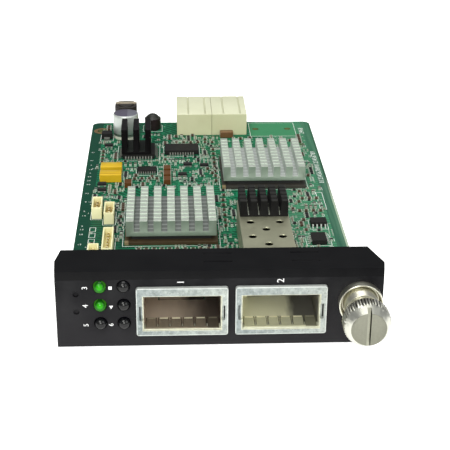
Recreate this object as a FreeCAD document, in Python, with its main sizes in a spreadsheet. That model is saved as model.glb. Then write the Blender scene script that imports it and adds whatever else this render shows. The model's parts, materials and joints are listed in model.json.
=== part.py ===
import FreeCAD
import Part
import Sketcher
import os
import re

# A slide-in card for a chassis: a black front plate, a green board behind it, two module ports,
# heat sinks, power parts, rear connectors and a captive thumbscrew.
# Frame: X across the card, Y from the front plate to the rear connectors, Z up.
# The origin is on the plate's bottom face, at mid width, in the plane of the front wall's inner face.

sizes = {
    # front plate
    "bezel_width": 84.0,
    "bezel_height": 20.8,
    "bezel_depth": 14.6,
    "wall": 1.5,
    "side_wall": 1.5,
    "bevel": 1.6,
    "flare_left": 0.6,
    "flare_left_y": 6.5,
    "flare_right": 0.8,
    "flare_right_y": 3.5,
    "draw_left": 0.5,
    "draw_right": 2.2,
    "slit_length": 7.5,
    "slit_width": 0.7,
    "slit_depth": 0.5,
    "slit_left_x": -0.3,
    "slit_right_x": 22.6,
    "slit_front_y": 5.1,
    "slit_back_y": 10.1,
    "dimple_x": -36.8,
    "dimple_low_z": 10.2,
    "dimple_high_z": 15.2,
    "dimple_radius": 0.75,
    "dimple_depth": 0.5,
    # board and the screws that hold it
    "board_width": 82.0,
    "board_x": -0.3,
    "board_front": 0.5,
    "board_length": 159.5,
    "board_bottom": 2.4,
    "board_thickness": 1.6,
    "board_corner": 2.6,
    "tongue_length": 13.6,
    "tongue_gap_left": 1.1,
    "tongue_gap_right": 0.9,
    "mount_hole_x": -37.5,
    "mount_hole_y": 151.0,
    "mount_hole_radius": 1.6,
    "guide_hole_x": 35.5,
    "guide_hole_y": 135.5,
    "guide_hole_radius": 0.9,
    "peg_hole_x": 25.8,
    "peg_hole_spacing": 12.0,
    "peg_hole_y": 152.0,
    "peg_hole_radius": 1.2,
    "screw_side_gap": 1.43,
    "screw_y": 7.0,
    "screw_radius": 1.2,
    "screw_clearance": 0.1,
    "screw_length": 3.2,
    "screw_head_radius": 2.1,
    "screw_head_height": 1.3,
    "screw_slot": 0.6,
    "screw_slot_depth": 0.7,
    "post_wall": 1.1,
    # module ports
    "port_mid_x": 2.97,
    "port_gap": 1.9,
    "frame_side": 1.85,
    "frame_head": 2.5,
    "frame_sill": 1.7,
    "frame_proud": 1.2,
    "opening_width": 19.8,
    "opening_height": 9.4,
    "opening_z": 9.9,
    "neck_wall": 0.8,
    "neck_back": 0.5,
    "neck_clearance": 0.1,
    "frame_step": 0.2,
    "frame_step_depth": 0.5,
    "notch_reach": 0.9,
    "notch_height": 4.2,
    "sheet": 0.4,
    "shell_gap": 0.05,
    "shell_height": 10.2,
    "shell_a_depth": 24.0,
    "shell_b_depth": 16.3,
    "finger_count": 6,
    "finger_margin": 0.45,
    "finger_gap": 0.3,
    "finger_length": 3.8,
    "finger_rise": 0.5,
    "finger_sheet": 0.25,
    "finger_start": 0.7,
    "finger_root": 0.8,
    "socket_width": 12.0,
    "socket_depth": 8.0,
    "socket_height": 5.0,
    "socket_slot": 1.4,
    "socket_slot_depth": 4.0,
    "socket_wall": 1.0,
    "socket_clearance": 0.3,
    "socket_a_y": 15.5,
    "socket_b_y": 50.0,
    # cage behind port B and its heat sink
    "cage_x": 15.06,
    "cage_width": 14.7,
    "cage_height": 10.0,
    "cage_gap": 0.1,
    "cage_back": 61.1,
    "vent_radius": 1.1,
    "vent_first_y": 19.8,
    "vent_pitch": 10.0,
    "vent_shift": 5.0,
    "vent_reach": 4.28,
    "vent_count": 3,
    "cage_sink_width": 14.2,
    "cage_sink_length": 12.6,
    "cage_sink_base": 0.6,
    "cage_sink_height": 5.0,
    "cage_sink_slot": 1.1,
    "cage_sink_cross": 1.0,
    "cage_sink_columns": 5,
    "cage_sink_rows": 5,
    # silver heat sinks and the packages under them
    "sink_width": 27.0,
    "sink_length": 27.0,
    "sink_base": 1.5,
    "sink_height": 5.0,
    "sink_slot": 1.75,
    "sink_cross": 0.8,
    "sink_columns": 7,
    "sink_rows": 10,
    "sink_front_x": -12.25,
    "sink_front_y": 64.8,
    "sink_rear_x": 18.75,
    "sink_rear_y": 107.5,
    "package_width": 28.0,
    "package_base": 1.1,
    "package_cap_width": 24.0,
    "package_cap": 1.65,
    # leaded chips
    "lead_sheet": 0.2,
    "lead_reach": 1.2,
    "lead_foot": 0.6,
    "chip_standoff": 0.2,
    "power_x": -23.4,
    "power_y": 127.5,
    "power_width": 11.4,
    "power_height": 1.7,
    "power_lead_count": 10,
    "power_lead_pitch": 1.0,
    "power_lead_width": 0.45,
    "memory_x": -8.2,
    "memory_y": 129.0,
    "memory_width": 12.0,
    "memory_depth": 7.0,
    "memory_height": 1.5,
    "memory_lead_count": 10,
    "memory_lead_pitch": 0.9,
    "memory_lead_width": 0.4,
    "logic_x": -20.3,
    "logic_y": 110.0,
    "logic_width": 6.6,
    "logic_depth": 3.9,
    "logic_height": 1.0,
    "logic_lead_count": 8,
    "logic_lead_pitch": 0.78,
    "logic_lead_width": 0.35,
    "driver_x": 33.3,
    "driver_y": 64.5,
    "driver_width": 5.0,
    "driver_depth": 3.9,
    "driver_height": 1.4,
    "driver_lead_count": 4,
    "driver_lead_pitch": 1.27,
    "driver_lead_width": 0.45,
    "flash_x": 32.0,
    "flash_y": 52.5,
    "flash_width": 4.4,
    "flash_depth": 6.0,
    "flash_height": 1.4,
    "flash_lead_count": 4,
    "flash_lead_pitch": 1.27,
    "flash_lead_width": 0.45,
    # black heat sink on the power chip
    "power_sink_shift": -0.75,
    "power_sink_width": 10.2,
    "power_sink_length": 12.0,
    "power_sink_base": 1.0,
    "power_sink_height": 9.1,
    "power_sink_slot": 2.2,
    "power_sink_columns": 3,
    # rear connectors
    "connector_seam_x": 3.2,
    "connector_gap": 0.1,
    "connector_width": 12.8,
    "connector_front": 145.7,
    "connector_depth": 21.8,
    "connector_height": 8.1,
    "connector_chamfer": 0.8,
    "groove_left": 4.25,
    "groove_right": 10.4,
    "groove_width": 0.5,
    "groove_depth": 0.4,
    "groove_stop": 0.8,
    "contact_columns": 6,
    "contact_rows": 3,
    "contact_pitch": 1.95,
    "contact_size": 1.1,
    "contact_depth": 6.0,
    # power parts at the rear left
    "can_x": -28.36,
    "can_y": 145.0,
    "can_radius": 4.6,
    "can_height": 9.2,
    "can_groove_z": 1.8,
    "can_groove_depth": 0.35,
    "can_groove_width": 0.5,
    "can_rim": 0.35,
    "inductor_x": -28.5,
    "inductor_y": 154.1,
    "inductor_width": 8.0,
    "inductor_height": 9.4,
    "inductor_corner": 1.5,
    "inductor_ring_radius": 3.2,
    "inductor_ring_width": 0.6,
    "inductor_ring_depth": 0.6,
    "choke_x": -18.65,
    "choke_y": 153.6,
    "choke_width": 6.0,
    "choke_height": 4.4,
    "choke_dome": 1.5,
    "choke_dome_radius": 2.85,
    "diode_x": -35.3,
    "diode_y": 143.6,
    "diode_width": 3.8,
    "diode_depth": 3.6,
    "diode_height": 2.3,
    "diode_tab_width": 2.0,
    "diode_tab_length": 1.1,
    "diode_tab_height": 0.9,
    # moulded capacitors
    "tantalum_x": -32.35,
    "tantalum_first_y": 102.65,
    "tantalum_pitch": 7.2,
    "tantalum_width": 7.3,
    "tantalum_depth": 4.3,
    "tantalum_height": 2.9,
    "brown_x": 8.55,
    "brown_y": 144.0,
    "brown_width": 4.8,
    "brown_depth": 2.6,
    "brown_height": 2.2,
    "terminal_width": 2.2,
    "terminal_sheet": 0.15,
    "terminal_height": 1.2,
    "moulding_chamfer": 0.25,
    # pin headers
    "header_width": 3.15,
    "header_height": 3.9,
    "header_wall": 0.45,
    "header_floor": 1.0,
    "header_key_length": 2.2,
    "header_key_depth": 1.4,
    "header_margin": 1.5,
    "pin_size": 0.6,
    "pin_clearance": 0.05,
    "pin_pitch": 2.0,
    "pin_rise": 1.9,
    "pin_tail": 0.8,
    "header_1_x": -35.45,
    "header_1_y": 70.4,
    "header_1_pins": 4,
    "header_2_x": -31.5,
    "header_2_y": 66.3,
    "header_2_pins": 4,
    "header_3_x": -31.05,
    "header_3_y": 40.9,
    "header_3_pins": 7,
    "header_4_x": -35.05,
    "header_4_y": 35.6,
    "header_4_pins": 4,
    # small parts
    "ceramic_x": -13.4,
    "ceramic_y": 99.6,
    "ceramic_pitch": 5.1,
    "ceramic_count": 3,
    "ceramic_side_x": -26.4,
    "ceramic_side_y": 97.2,
    "ceramic_width": 2.7,
    "ceramic_depth": 3.3,
    "ceramic_height": 1.8,
    "transistor_width": 2.9,
    "transistor_depth": 1.5,
    "transistor_height": 1.1,
    "transistor_foot": 0.5,
    "transistor_leg_height": 0.3,
    "transistor_1_x": -6.3,
    "transistor_1_y": 115.0,
    "transistor_2_x": -0.6,
    "transistor_2_y": 114.2,
    "transistor_3_x": -8.2,
    "transistor_3_y": 106.0,
    "transistor_4_x": -34.3,
    "transistor_4_y": 134.4,
    "transistor_5_x": -34.9,
    "transistor_5_y": 93.0,
    "transistor_6_x": -35.1,
    "transistor_6_y": 97.9,
    "small_width": 1.7,
    "small_depth": 0.9,
    "small_height": 0.7,
    "row_a_x": -22.0,
    "row_a_y": 47.3,
    "row_a_step_x": 2.3,
    "row_a_step_y": 0.0,
    "row_a_count": 10,
    "row_b_x": 4.6,
    "row_b_y": 64.0,
    "row_b_step_x": 0.0,
    "row_b_step_y": 4.0,
    "row_b_count": 6,
    "row_c_x": 30.6,
    "row_c_y": 74.6,
    "row_c_step_x": 2.3,
    "row_c_step_y": 0.0,
    "row_c_count": 3,
    "row_d_x": 30.4,
    "row_d_y": 84.6,
    "row_d_step_x": 2.3,
    "row_d_step_y": 0.0,
    "row_d_count": 3,
    "row_e_x": 3.0,
    "row_e_y": 100.6,
    "row_e_step_x": 0.0,
    "row_e_step_y": 4.2,
    "row_e_count": 8,
    "row_f_x": -10.0,
    "row_f_y": 137.4,
    "row_f_step_x": 2.6,
    "row_f_step_y": 0.0,
    "row_f_count": 6,
    "row_g_x": -36.0,
    "row_g_y": 118.6,
    "row_g_step_x": 0.0,
    "row_g_step_y": 3.4,
    "row_g_count": 4,
    "row_h_x": -24.4,
    "row_h_y": 103.0,
    "row_h_step_x": 2.5,
    "row_h_step_y": 0.0,
    "row_h_count": 4,
    "row_i_x": 30.0,
    "row_i_y": 90.4,
    "row_i_step_x": 0.0,
    "row_i_step_y": 0.0,
    "row_i_count": 1,
    # indicator lights and their holder
    "light_inset": 3.17,
    "light_spacing": 6.02,
    "light_bottom_z": 6.8,
    "light_pitch": 5.25,
    "light_radius": 1.65,
    "light_clearance": 0.1,
    "light_flange": 0.25,
    "light_flange_thickness": 0.5,
    "light_flange_gap": 0.2,
    "light_tail": 3.0,
    "light_block_margin": 2.6,
    "light_block_depth": 8.0,
    "light_block_height": 14.9,
    "light_pin_columns": 6,
    "light_pin_pitch": 1.8,
    "light_pin_rows": 2,
    "light_pin_row_pitch": 2.5,
    # captive thumbscrew
    "thumb_x": 36.1,
    "thumb_z": 12.2,
    "ferrule_radius": 5.7,
    "ferrule_proud": 2.6,
    "dish_rim": 0.35,
    "dish_depth": 2.0,
    "dish_floor_radius": 4.9,
    "sleeve_radius": 4.5,
    "sleeve_reach": 3.0,
    "barrel_radius": 4.25,
    "barrel_fit": 0.02,
    "barrel_back": 5.0,
    "barrel_lip": 0.8,
    "shaft_radius": 3.5,
    "shaft_fit": 0.05,
    "shaft_end": 1.2,
    "shank_radius": 1.5,
    "shank_fit": 0.08,
    "shank_tip": 11.5,
    "shank_point": 0.5,
    "ring_gap": 0.1,
    "ring_thickness": 0.7,
    "ring_radius": 3.2,
    "ring_fit": 0.05,
    "ring_groove": 0.4,
    "knob_radius": 6.05,
    "knob_face_radius": 4.45,
    "knob_reach": 9.4,
    "knob_length": 5.9,
    "knob_taper": 2.6,
    "knob_back_chamfer": 0.4,
    "collar_radius": 4.3,
    "collar_length": 0.4,
    "knob_slot": 1.0,
    "knob_slot_depth": 1.5,
    "knurl_count": 48,
    "knurl_depth": 0.4,
    "knurl_width": 0.6,
    "spring_wire": 0.4,
    "spring_radius": 2.4,
    "spring_turns": 4,
    "spring_gap": 0.15,
}

doc = FreeCAD.newDocument("card")
sheet = doc.addObject("Spreadsheet::Sheet", "Sizes")
for row, (word, value) in enumerate(sizes.items(), 1):
    sheet.set(f"A{row}", word)
    sheet.set(f"B{row}", str(value))
    sheet.setAlias(f"B{row}", word)
doc.recompute()

boardTop = "(board_bottom + board_thickness)"
shellFront = "(neck_back + shell_gap)"
frameWidth = "(opening_width + 2 * frame_side)"
frameHeight = "(opening_height + frame_head + frame_sill)"
portA = f"(port_mid_x - ({frameWidth} + port_gap) / 2)"
portB = f"(port_mid_x + ({frameWidth} + port_gap) / 2)"
lightLeft = f"({portA} - {frameWidth} / 2 - light_inset - light_spacing)"
screwRight = f"({portB} + opening_width / 2 + sheet + screw_side_gap + screw_head_radius)"
screwPlaces = ("port_mid_x", screwRight)
tall = "(package_base + package_cap)"

subParts = []


def onSheet(text):
    return re.sub(r"[a-z][a-z_0-9]*", lambda word: "Sizes." + word.group(), text)


def number(text):
    return float(sheet.evalExpression(onSheet(text)))


def bind(item, **texts):
    for prop, text in texts.items():
        item.setExpression(prop, onSheet(text))


def place(item, x, y, z):
    for axis, text in zip("xyz", (x, y, z)):
        item.setExpression("Placement.Base." + axis, onSheet(text))


def subPart(item, label):
    item.Label = label
    subParts.append(item)
    return item


# Plain solids: each takes its sizes and its place as expressions on the sheet.
def block(x, y, z, width, depth, height):
    item = doc.addObject("Part::Box", "Block")
    bind(item, Length=width, Width=depth, Height=height)
    place(item, f"{x} - ({width}) / 2", f"{y} - ({depth}) / 2", z)
    return item


def rod(x, y, z, radius, length, axis=FreeCAD.Vector(0, 0, 1)):
    item = doc.addObject("Part::Cylinder", "Rod")
    item.Placement.Rotation = FreeCAD.Rotation(FreeCAD.Vector(0, 0, 1), axis)
    bind(item, Radius=radius, Height=length)
    place(item, x, y, z)
    return item


def ball(x, y, z, radius):
    item = doc.addObject("Part::Sphere", "Ball")
    bind(item, Radius=radius)
    place(item, x, y, z)
    return item


def fuse(items):
    item = doc.addObject("Part::MultiFuse", "Fuse")
    item.Shapes = items
    return item


def cut(base, tool):
    item = doc.addObject("Part::Cut", "Cut")
    item.Base = base
    item.Tool = tool
    return item


def group(items):
    item = doc.addObject("Part::Compound", "Group")
    item.Links = items
    return item


# Bodies made from sketches.
def newBody(label):
    return subPart(doc.addObject("PartDesign::Body", label), label)


def originFeature(body, role):
    return next(item for item in body.Origin.OriginFeatures if item.Role == role)


def sketchOn(body, role, offset="0"):
    sketch = body.newObject("Sketcher::SketchObject", "Sketch")
    sketch.AttachmentSupport = [(originFeature(body, role), "")]
    sketch.MapMode = "FlatFace"
    sketch.setExpression("AttachmentOffset.Base.z", onSheet(offset))
    return sketch


def holdPoint(sketch, geometry, position, x, y):
    for kind, text in (("DistanceX", x), ("DistanceY", y)):
        rule = Sketcher.Constraint(kind, -1, 1, geometry, position, number(text))
        sketch.setExpression(f"Constraints[{sketch.addConstraint(rule)}]", onSheet(text))


def outline(sketch, points):
    corners = [FreeCAD.Vector(number(x), number(y), 0) for x, y in points]
    first = sketch.GeometryCount
    count = len(points)
    for index, corner in enumerate(corners):
        sketch.addGeometry(Part.LineSegment(corner, corners[(index + 1) % count]))
    for index, (x, y) in enumerate(points):
        following = first + (index + 1) % count
        sketch.addConstraint(Sketcher.Constraint("Coincident", first + index, 2, following, 1))
        holdPoint(sketch, first + index, 1, x, y)


def rectangle(sketch, x, y, width, height):
    left = f"{x} - ({width}) / 2"
    right = f"{x} + ({width}) / 2"
    low = f"{y} - ({height}) / 2"
    high = f"{y} + ({height}) / 2"
    outline(sketch, [(left, low), (right, low), (right, high), (left, high)])


def circle(sketch, x, y, radius):
    centre = FreeCAD.Vector(number(x), number(y), 0)
    index = sketch.addGeometry(Part.Circle(centre, FreeCAD.Vector(0, 0, 1), number(radius)))
    holdPoint(sketch, index, 3, x, y)
    rule = Sketcher.Constraint("Radius", index, number(radius))
    sketch.setExpression(f"Constraints[{sketch.addConstraint(rule)}]", onSheet(radius))


def pad(body, sketch, length, againstNormal=False, midplane=False):
    feature = body.newObject("PartDesign::Pad", "Pad")
    feature.Profile = sketch
    feature.Reversed = againstNormal
    feature.Midplane = midplane
    bind(feature, Length=length)
    return feature


def pocket(body, sketch, depth, alongNormal=False):
    feature = body.newObject("PartDesign::Pocket", "Pocket")
    feature.Profile = sketch
    feature.Reversed = alongNormal
    bind(feature, Length=depth)
    return feature


def pocketThrough(body, sketch):
    feature = body.newObject("PartDesign::Pocket", "Pocket")
    feature.Profile = sketch
    feature.Type = "ThroughAll"
    feature.Midplane = True
    return feature


def revolve(body, sketch, role):
    feature = body.newObject("PartDesign::Revolution", "Revolution")
    feature.Profile = sketch
    feature.ReferenceAxis = (originFeature(body, role), [""])
    feature.Angle = 360
    return feature


def repeat(body, feature, role, spacing, count):
    pattern = body.newObject("PartDesign::LinearPattern", "LinearPattern")
    pattern.Originals = [feature]
    pattern.Direction = (originFeature(body, role), [""])
    pattern.Mode = "Spacing"
    bind(pattern, Offset=spacing, Occurrences=count)
    body.Tip = pattern
    return pattern


def edgesWhere(feature, test):
    doc.recompute()
    names = []
    for index, edge in enumerate(feature.Shape.Edges, 1):
        if all(test(vertex.Point) for vertex in edge.Vertexes):
            names.append(f"Edge{index}")
    return names


def near(value, text):
    return abs(value - number(text)) < 1e-4


# Front plate: a shell open at the back, with its sides drawn in towards the rear.
def makeBezel():
    body = newBody("bezel")
    left = "-bezel_width / 2"
    right = "bezel_width / 2"
    back = "bezel_depth - wall"
    plan = sketchOn(body, "XY_Plane")
    outline(plan, [
        (left, "-wall"),
        (right, "-wall"),
        (f"{right} + flare_right", "flare_right_y"),
        (f"{right} - draw_right", back),
        (f"{left} + draw_left", back),
        (f"{left} - flare_left", "flare_left_y"),
    ])
    shell = pad(body, plan, "bezel_height")
    bevel = body.newObject("PartDesign::Chamfer", "Chamfer")
    topFront = edgesWhere(shell, lambda point: near(point.y, "-wall") and near(point.z, "bezel_height"))
    bevel.Base = (shell, topFront)
    bind(bevel, Size="bevel")
    inside = sketchOn(body, "XY_Plane", "wall")
    outline(inside, [
        (f"{left} + side_wall", "0"),
        (f"{right} - side_wall", "0"),
        (f"{right} + flare_right - side_wall", "flare_right_y"),
        (f"{right} - draw_right - side_wall", back),
        (f"{left} + draw_left + side_wall", back),
        (f"{left} - flare_left + side_wall", "flare_left_y"),
    ])
    pocket(body, inside, "bezel_height - 2 * wall", alongNormal=True)
    posts = sketchOn(body, "XY_Plane", "wall")
    for x in screwPlaces:
        circle(posts, x, "screw_y", "screw_radius + screw_clearance + post_wall")
    pad(body, posts, "board_bottom - wall")
    pilots = sketchOn(body, "XY_Plane", "board_bottom")
    for x in screwPlaces:
        circle(pilots, x, "screw_y", "screw_radius + screw_clearance")
    pocket(body, pilots, "screw_length - board_thickness + screw_clearance")
    openings = sketchOn(body, "XZ_Plane")
    for x in (portA, portB):
        grow = "2 * (neck_wall + neck_clearance)"
        rectangle(openings, x, "opening_z", f"opening_width + {grow}", f"opening_height + {grow}")
    pocketThrough(body, openings)
    holes = sketchOn(body, "XZ_Plane")
    for column in range(2):
        for row in range(3):
            x = f"{lightLeft} + {column} * light_spacing"
            circle(holes, x, f"light_bottom_z + {row} * light_pitch", "light_radius + light_clearance")
    circle(holes, "thumb_x", "thumb_z", "barrel_radius + barrel_fit")
    pocketThrough(body, holes)
    dimples = sketchOn(body, "XZ_Plane", "wall")
    for z in ("dimple_low_z", "dimple_high_z"):
        circle(dimples, "dimple_x", z, "dimple_radius")
    pocket(body, dimples, "dimple_depth")
    slits = sketchOn(body, "XY_Plane", "bezel_height")
    for x in ("slit_left_x", "slit_right_x"):
        for y in ("slit_front_y", "slit_back_y"):
            rectangle(slits, x, y, "slit_length", "slit_width")
    pocket(body, slits, "slit_depth")


# Cast frame round a port: a flange on the plate, a neck through it, a stepped and notched mouth.
def makePortFrame(label, x):
    body = newBody(label)
    flange = sketchOn(body, "XZ_Plane", "wall")
    rectangle(flange, "0", "opening_z + (frame_head - frame_sill) / 2", frameWidth, frameHeight)
    pad(body, flange, "frame_proud")
    neck = sketchOn(body, "XZ_Plane", "wall")
    rectangle(neck, "0", "opening_z", "opening_width + 2 * neck_wall", "opening_height + 2 * neck_wall")
    pad(body, neck, "wall + neck_back", againstNormal=True)
    mouth = sketchOn(body, "XZ_Plane")
    rectangle(mouth, "0", "opening_z", "opening_width", "opening_height")
    pocketThrough(body, mouth)
    step = sketchOn(body, "XZ_Plane", "wall + frame_proud")
    grow = "2 * frame_step"
    rectangle(step, "0", "opening_z", f"opening_width + {grow}", f"opening_height + {grow}")
    pocket(body, step, "frame_step_depth")
    notches = sketchOn(body, "XZ_Plane", "wall + frame_proud")
    rectangle(notches, "0", "opening_z", f"opening_width + {grow} + 2 * notch_reach", "notch_height")
    pocket(body, notches, "frame_proud")
    place(body, x, "0", "0")


# Folded sheet box behind a frame, closed at its back except where a cage joins it.
def makePortShell(label, x, depth):
    body = newBody(label)
    outerWidth = "opening_width + 2 * sheet"
    outerHeight = "shell_height + 2 * sheet"
    middle = f"{boardTop} + sheet + shell_height / 2"
    walls = sketchOn(body, "XZ_Plane", f"-{shellFront}")
    rectangle(walls, "0", middle, outerWidth, outerHeight)
    pad(body, walls, depth, againstNormal=True)
    hollow = sketchOn(body, "XZ_Plane", f"-{shellFront}")
    rectangle(hollow, "0", middle, "opening_width", "shell_height")
    pocket(body, hollow, f"{depth} - sheet")
    place(body, x, "0", "0")
    return body


def openShellFloor(body):
    floor = sketchOn(body, "XY_Plane", boardTop)
    length = "socket_depth + 2 * socket_clearance"
    rectangle(floor, "0", "socket_a_y + socket_depth / 2", "socket_width + 2 * socket_clearance", length)
    pocket(body, floor, "sheet", alongNormal=True)


def openShellBack(body):
    back = sketchOn(body, "XZ_Plane", f"-{shellFront} - shell_b_depth")
    middle = f"{boardTop} + cage_height / 2"
    rectangle(back, f"cage_x - {portB}", middle, "cage_width - 2 * sheet", "cage_height - 2 * sheet")
    pocket(body, back, "sheet", alongNormal=True)


# Spring fingers in a port's mouth: a root strip on the frame's floor with a row of rising tongues.
def makeFingerStrip(label, x):
    body = newBody(label)
    floor = "opening_z - opening_height / 2"
    front = "finger_start - wall - frame_proud"
    start = f"{front} + finger_root"
    across = "(opening_width - 2 * finger_margin)"
    pitch = f"(({across} + finger_gap) / finger_count)"
    width = f"({pitch} - finger_gap)"
    first = f"-(finger_count - 1) * {pitch} / 2"
    root = sketchOn(body, "XY_Plane", floor)
    rectangle(root, "0", f"{front} + finger_root / 2", across, "finger_root")
    pad(body, root, "finger_sheet")
    tongue = sketchOn(body, "YZ_Plane", first)
    outline(tongue, [
        (start, floor),
        (f"{start} + finger_length", f"{floor} + finger_rise"),
        (f"{start} + finger_length", f"{floor} + finger_rise + finger_sheet"),
        (start, f"{floor} + finger_sheet"),
    ])
    finger = pad(body, tongue, width, midplane=True)
    repeat(body, finger, "X_Axis", pitch, "finger_count")
    place(body, x, "0", "0")


# Socket that a module's edge plugs into, with its slot facing the port.
def makeModuleSocket(label, x, front):
    housing = block(x, f"{front} + socket_depth / 2", boardTop, "socket_width", "socket_depth", "socket_height")
    slot = block(
        x,
        f"{front} + socket_slot_depth / 2",
        f"{boardTop} + (socket_height - socket_slot) / 2",
        "socket_width - 2 * socket_wall",
        "socket_slot_depth",
        "socket_slot",
    )
    subPart(cut(housing, slot), label)


# Perforated cage behind port B.
def makeModuleCage():
    body = newBody("module_cage")
    front = f"({shellFront} + shell_b_depth + cage_gap)"
    length = f"cage_back - {front}"
    middle = f"{boardTop} + cage_height / 2"
    top = f"{boardTop} + cage_height"
    walls = sketchOn(body, "XZ_Plane", f"-{front}")
    rectangle(walls, "0", middle, "cage_width", "cage_height")
    pad(body, walls, length, againstNormal=True)
    hollow = sketchOn(body, "XZ_Plane", f"-{front}")
    rectangle(hollow, "0", middle, "cage_width - 2 * sheet", "cage_height - 2 * sheet")
    pocket(body, hollow, f"{length} - sheet")
    floor = sketchOn(body, "XY_Plane", boardTop)
    slack = "2 * socket_clearance"
    rectangle(floor, "0", "socket_b_y + socket_depth / 2", f"socket_width + {slack}", f"socket_depth + {slack}")
    pocket(body, floor, "sheet", alongNormal=True)
    single = sketchOn(body, "XY_Plane", top)
    circle(single, "0", "vent_first_y", "vent_radius")
    repeat(body, pocket(body, single, "sheet"), "Y_Axis", "vent_pitch", "vent_count")
    pair = sketchOn(body, "XY_Plane", top)
    for side in ("-vent_reach", "vent_reach"):
        circle(pair, side, "vent_first_y + vent_shift", "vent_radius")
    repeat(body, pocket(body, pair, "sheet"), "Y_Axis", "vent_pitch", "vent_count")
    place(body, "cage_x", "0", "0")


# Heat sink sawn from one block: lengthwise slots, and cross slots where the kind has rows of pins.
def makeHeatSink(label, kind, x, y, z, rows):
    body = newBody(label)
    width = f"{kind}_width"
    length = f"{kind}_length"
    height = f"{kind}_height"
    base = f"{kind}_base"
    slotMiddle = f"({base} + {height}) / 2"
    slotHeight = f"{height} - {base}"
    slab = sketchOn(body, "XY_Plane")
    rectangle(slab, "0", "0", width, length)
    pad(body, slab, height)
    fin = f"(({width} - ({kind}_columns - 1) * {kind}_slot) / {kind}_columns)"
    lengthwise = sketchOn(body, "XZ_Plane")
    rectangle(lengthwise, f"-{width} / 2 + {fin} + {kind}_slot / 2", slotMiddle, f"{kind}_slot", slotHeight)
    cutAlong = pocketThrough(body, lengthwise)
    repeat(body, cutAlong, "X_Axis", f"{fin} + {kind}_slot", f"{kind}_columns - 1")
    if rows:
        tooth = f"(({length} - ({kind}_rows - 1) * {kind}_cross) / {kind}_rows)"
        crosswise = sketchOn(body, "YZ_Plane")
        start = f"-{length} / 2 + {tooth} + {kind}_cross / 2"
        rectangle(crosswise, start, slotMiddle, f"{kind}_cross", slotHeight)
        cutAcross = pocketThrough(body, crosswise)
        repeat(body, cutAcross, "Y_Axis", f"{tooth} + {kind}_cross", f"{kind}_rows - 1")
    place(body, x, y, z)


# Square package under a silver heat sink: a substrate with a smaller moulded cap.
def makeProcessor(label, x, y):
    body = newBody(label)
    substrate = sketchOn(body, "XY_Plane")
    rectangle(substrate, "0", "0", "package_width", "package_width")
    pad(body, substrate, "package_base")
    cap = sketchOn(body, "XY_Plane", "package_base")
    rectangle(cap, "0", "0", "package_cap_width", "package_cap_width")
    pad(body, cap, "package_cap")
    place(body, x, y, boardTop)


# Moulded chip with a row of bent leads along two or all four of its sides.
def makeLeadedChip(label, kind, width, depth, sides):
    body = newBody(label)
    moulding = sketchOn(body, "XY_Plane", "chip_standoff")
    rectangle(moulding, "0", "0", width, depth)
    pad(body, moulding, f"{kind}_height")
    bend = f"(chip_standoff + {kind}_height / 2)"
    for side in sides:
        along = "X_Axis" if side in ("front", "back") else "Y_Axis"
        sign = "-" if side in ("front", "left") else ""
        half = f"{depth} / 2" if along == "X_Axis" else f"{width} / 2"
        role = "YZ_Plane" if along == "X_Axis" else "XZ_Plane"
        first = f"-({kind}_lead_count - 1) * {kind}_lead_pitch / 2"
        offset = first if along == "X_Axis" else f"({kind}_lead_count - 1) * {kind}_lead_pitch / 2"
        knee = "(lead_reach - lead_foot)"
        profile = [
            ("0", f"{bend} - lead_sheet / 2"),
            ("0", f"{bend} + lead_sheet / 2"),
            (knee, f"{bend} + lead_sheet / 2"),
            (knee, "lead_sheet"),
            ("lead_reach", "lead_sheet"),
            ("lead_reach", "0"),
            (f"{knee} - lead_sheet", "0"),
            (f"{knee} - lead_sheet", f"{bend} - lead_sheet / 2"),
        ]
        sketch = sketchOn(body, role, offset)
        outline(sketch, [(f"{sign}({half} + {reach})", height) for reach, height in profile])
        lead = pad(body, sketch, f"{kind}_lead_width", midplane=True)
        repeat(body, lead, along, f"{kind}_lead_pitch", f"{kind}_lead_count")
    place(body, f"{kind}_x", f"{kind}_y", boardTop)


# Rear connector: an ivory housing with two grooves on top and a grid of contact cells at the back.
def makeBackplaneConnector(label, left):
    body = newBody(label)
    housing = sketchOn(body, "XY_Plane")
    rectangle(housing, "connector_width / 2", "connector_depth / 2", "connector_width", "connector_depth")
    solid = pad(body, housing, "connector_height")
    corners = body.newObject("PartDesign::Chamfer", "Chamfer")
    rear = edgesWhere(solid, lambda point: near(point.y, "connector_depth") and not near(point.z, "0"))
    corners.Base = (solid, rear)
    bind(corners, Size="connector_chamfer")
    grooves = sketchOn(body, "XY_Plane", "connector_height")
    for x in ("groove_left", "groove_right"):
        length = "connector_depth - groove_stop"
        rectangle(grooves, x, "groove_stop + (connector_depth - groove_stop) / 2", "groove_width", length)
    pocket(body, grooves, "groove_depth")
    cells = sketchOn(body, "XZ_Plane", "-connector_depth")
    firstX = "connector_width / 2 - (contact_columns - 1) * contact_pitch / 2"
    firstZ = "connector_height / 2 - (contact_rows - 1) * contact_pitch / 2"
    for row in range(int(number("contact_rows"))):
        rectangle(cells, firstX, f"{firstZ} + {row} * contact_pitch", "contact_size", "contact_size")
    cell = pocket(body, cells, "contact_depth", alongNormal=True)
    repeat(body, cell, "X_Axis", "contact_pitch", "contact_columns")
    place(body, left, "connector_front", boardTop)


# Electrolytic can, turned about its own axis, with a rolled groove near its foot.
def makeCan():
    body = newBody("electrolytic_capacitor")
    waist = "can_radius - can_groove_depth"
    section = sketchOn(body, "XZ_Plane")
    outline(section, [
        ("0", "0"),
        ("can_radius", "0"),
        ("can_radius", "can_groove_z - can_groove_width / 2"),
        (waist, "can_groove_z"),
        ("can_radius", "can_groove_z + can_groove_width / 2"),
        ("can_radius", "can_height - can_rim"),
        ("can_radius - can_rim", "can_height"),
        ("0", "can_height"),
    ])
    revolve(body, section, "Z_Axis")
    place(body, "can_x", "can_y", boardTop)


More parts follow.
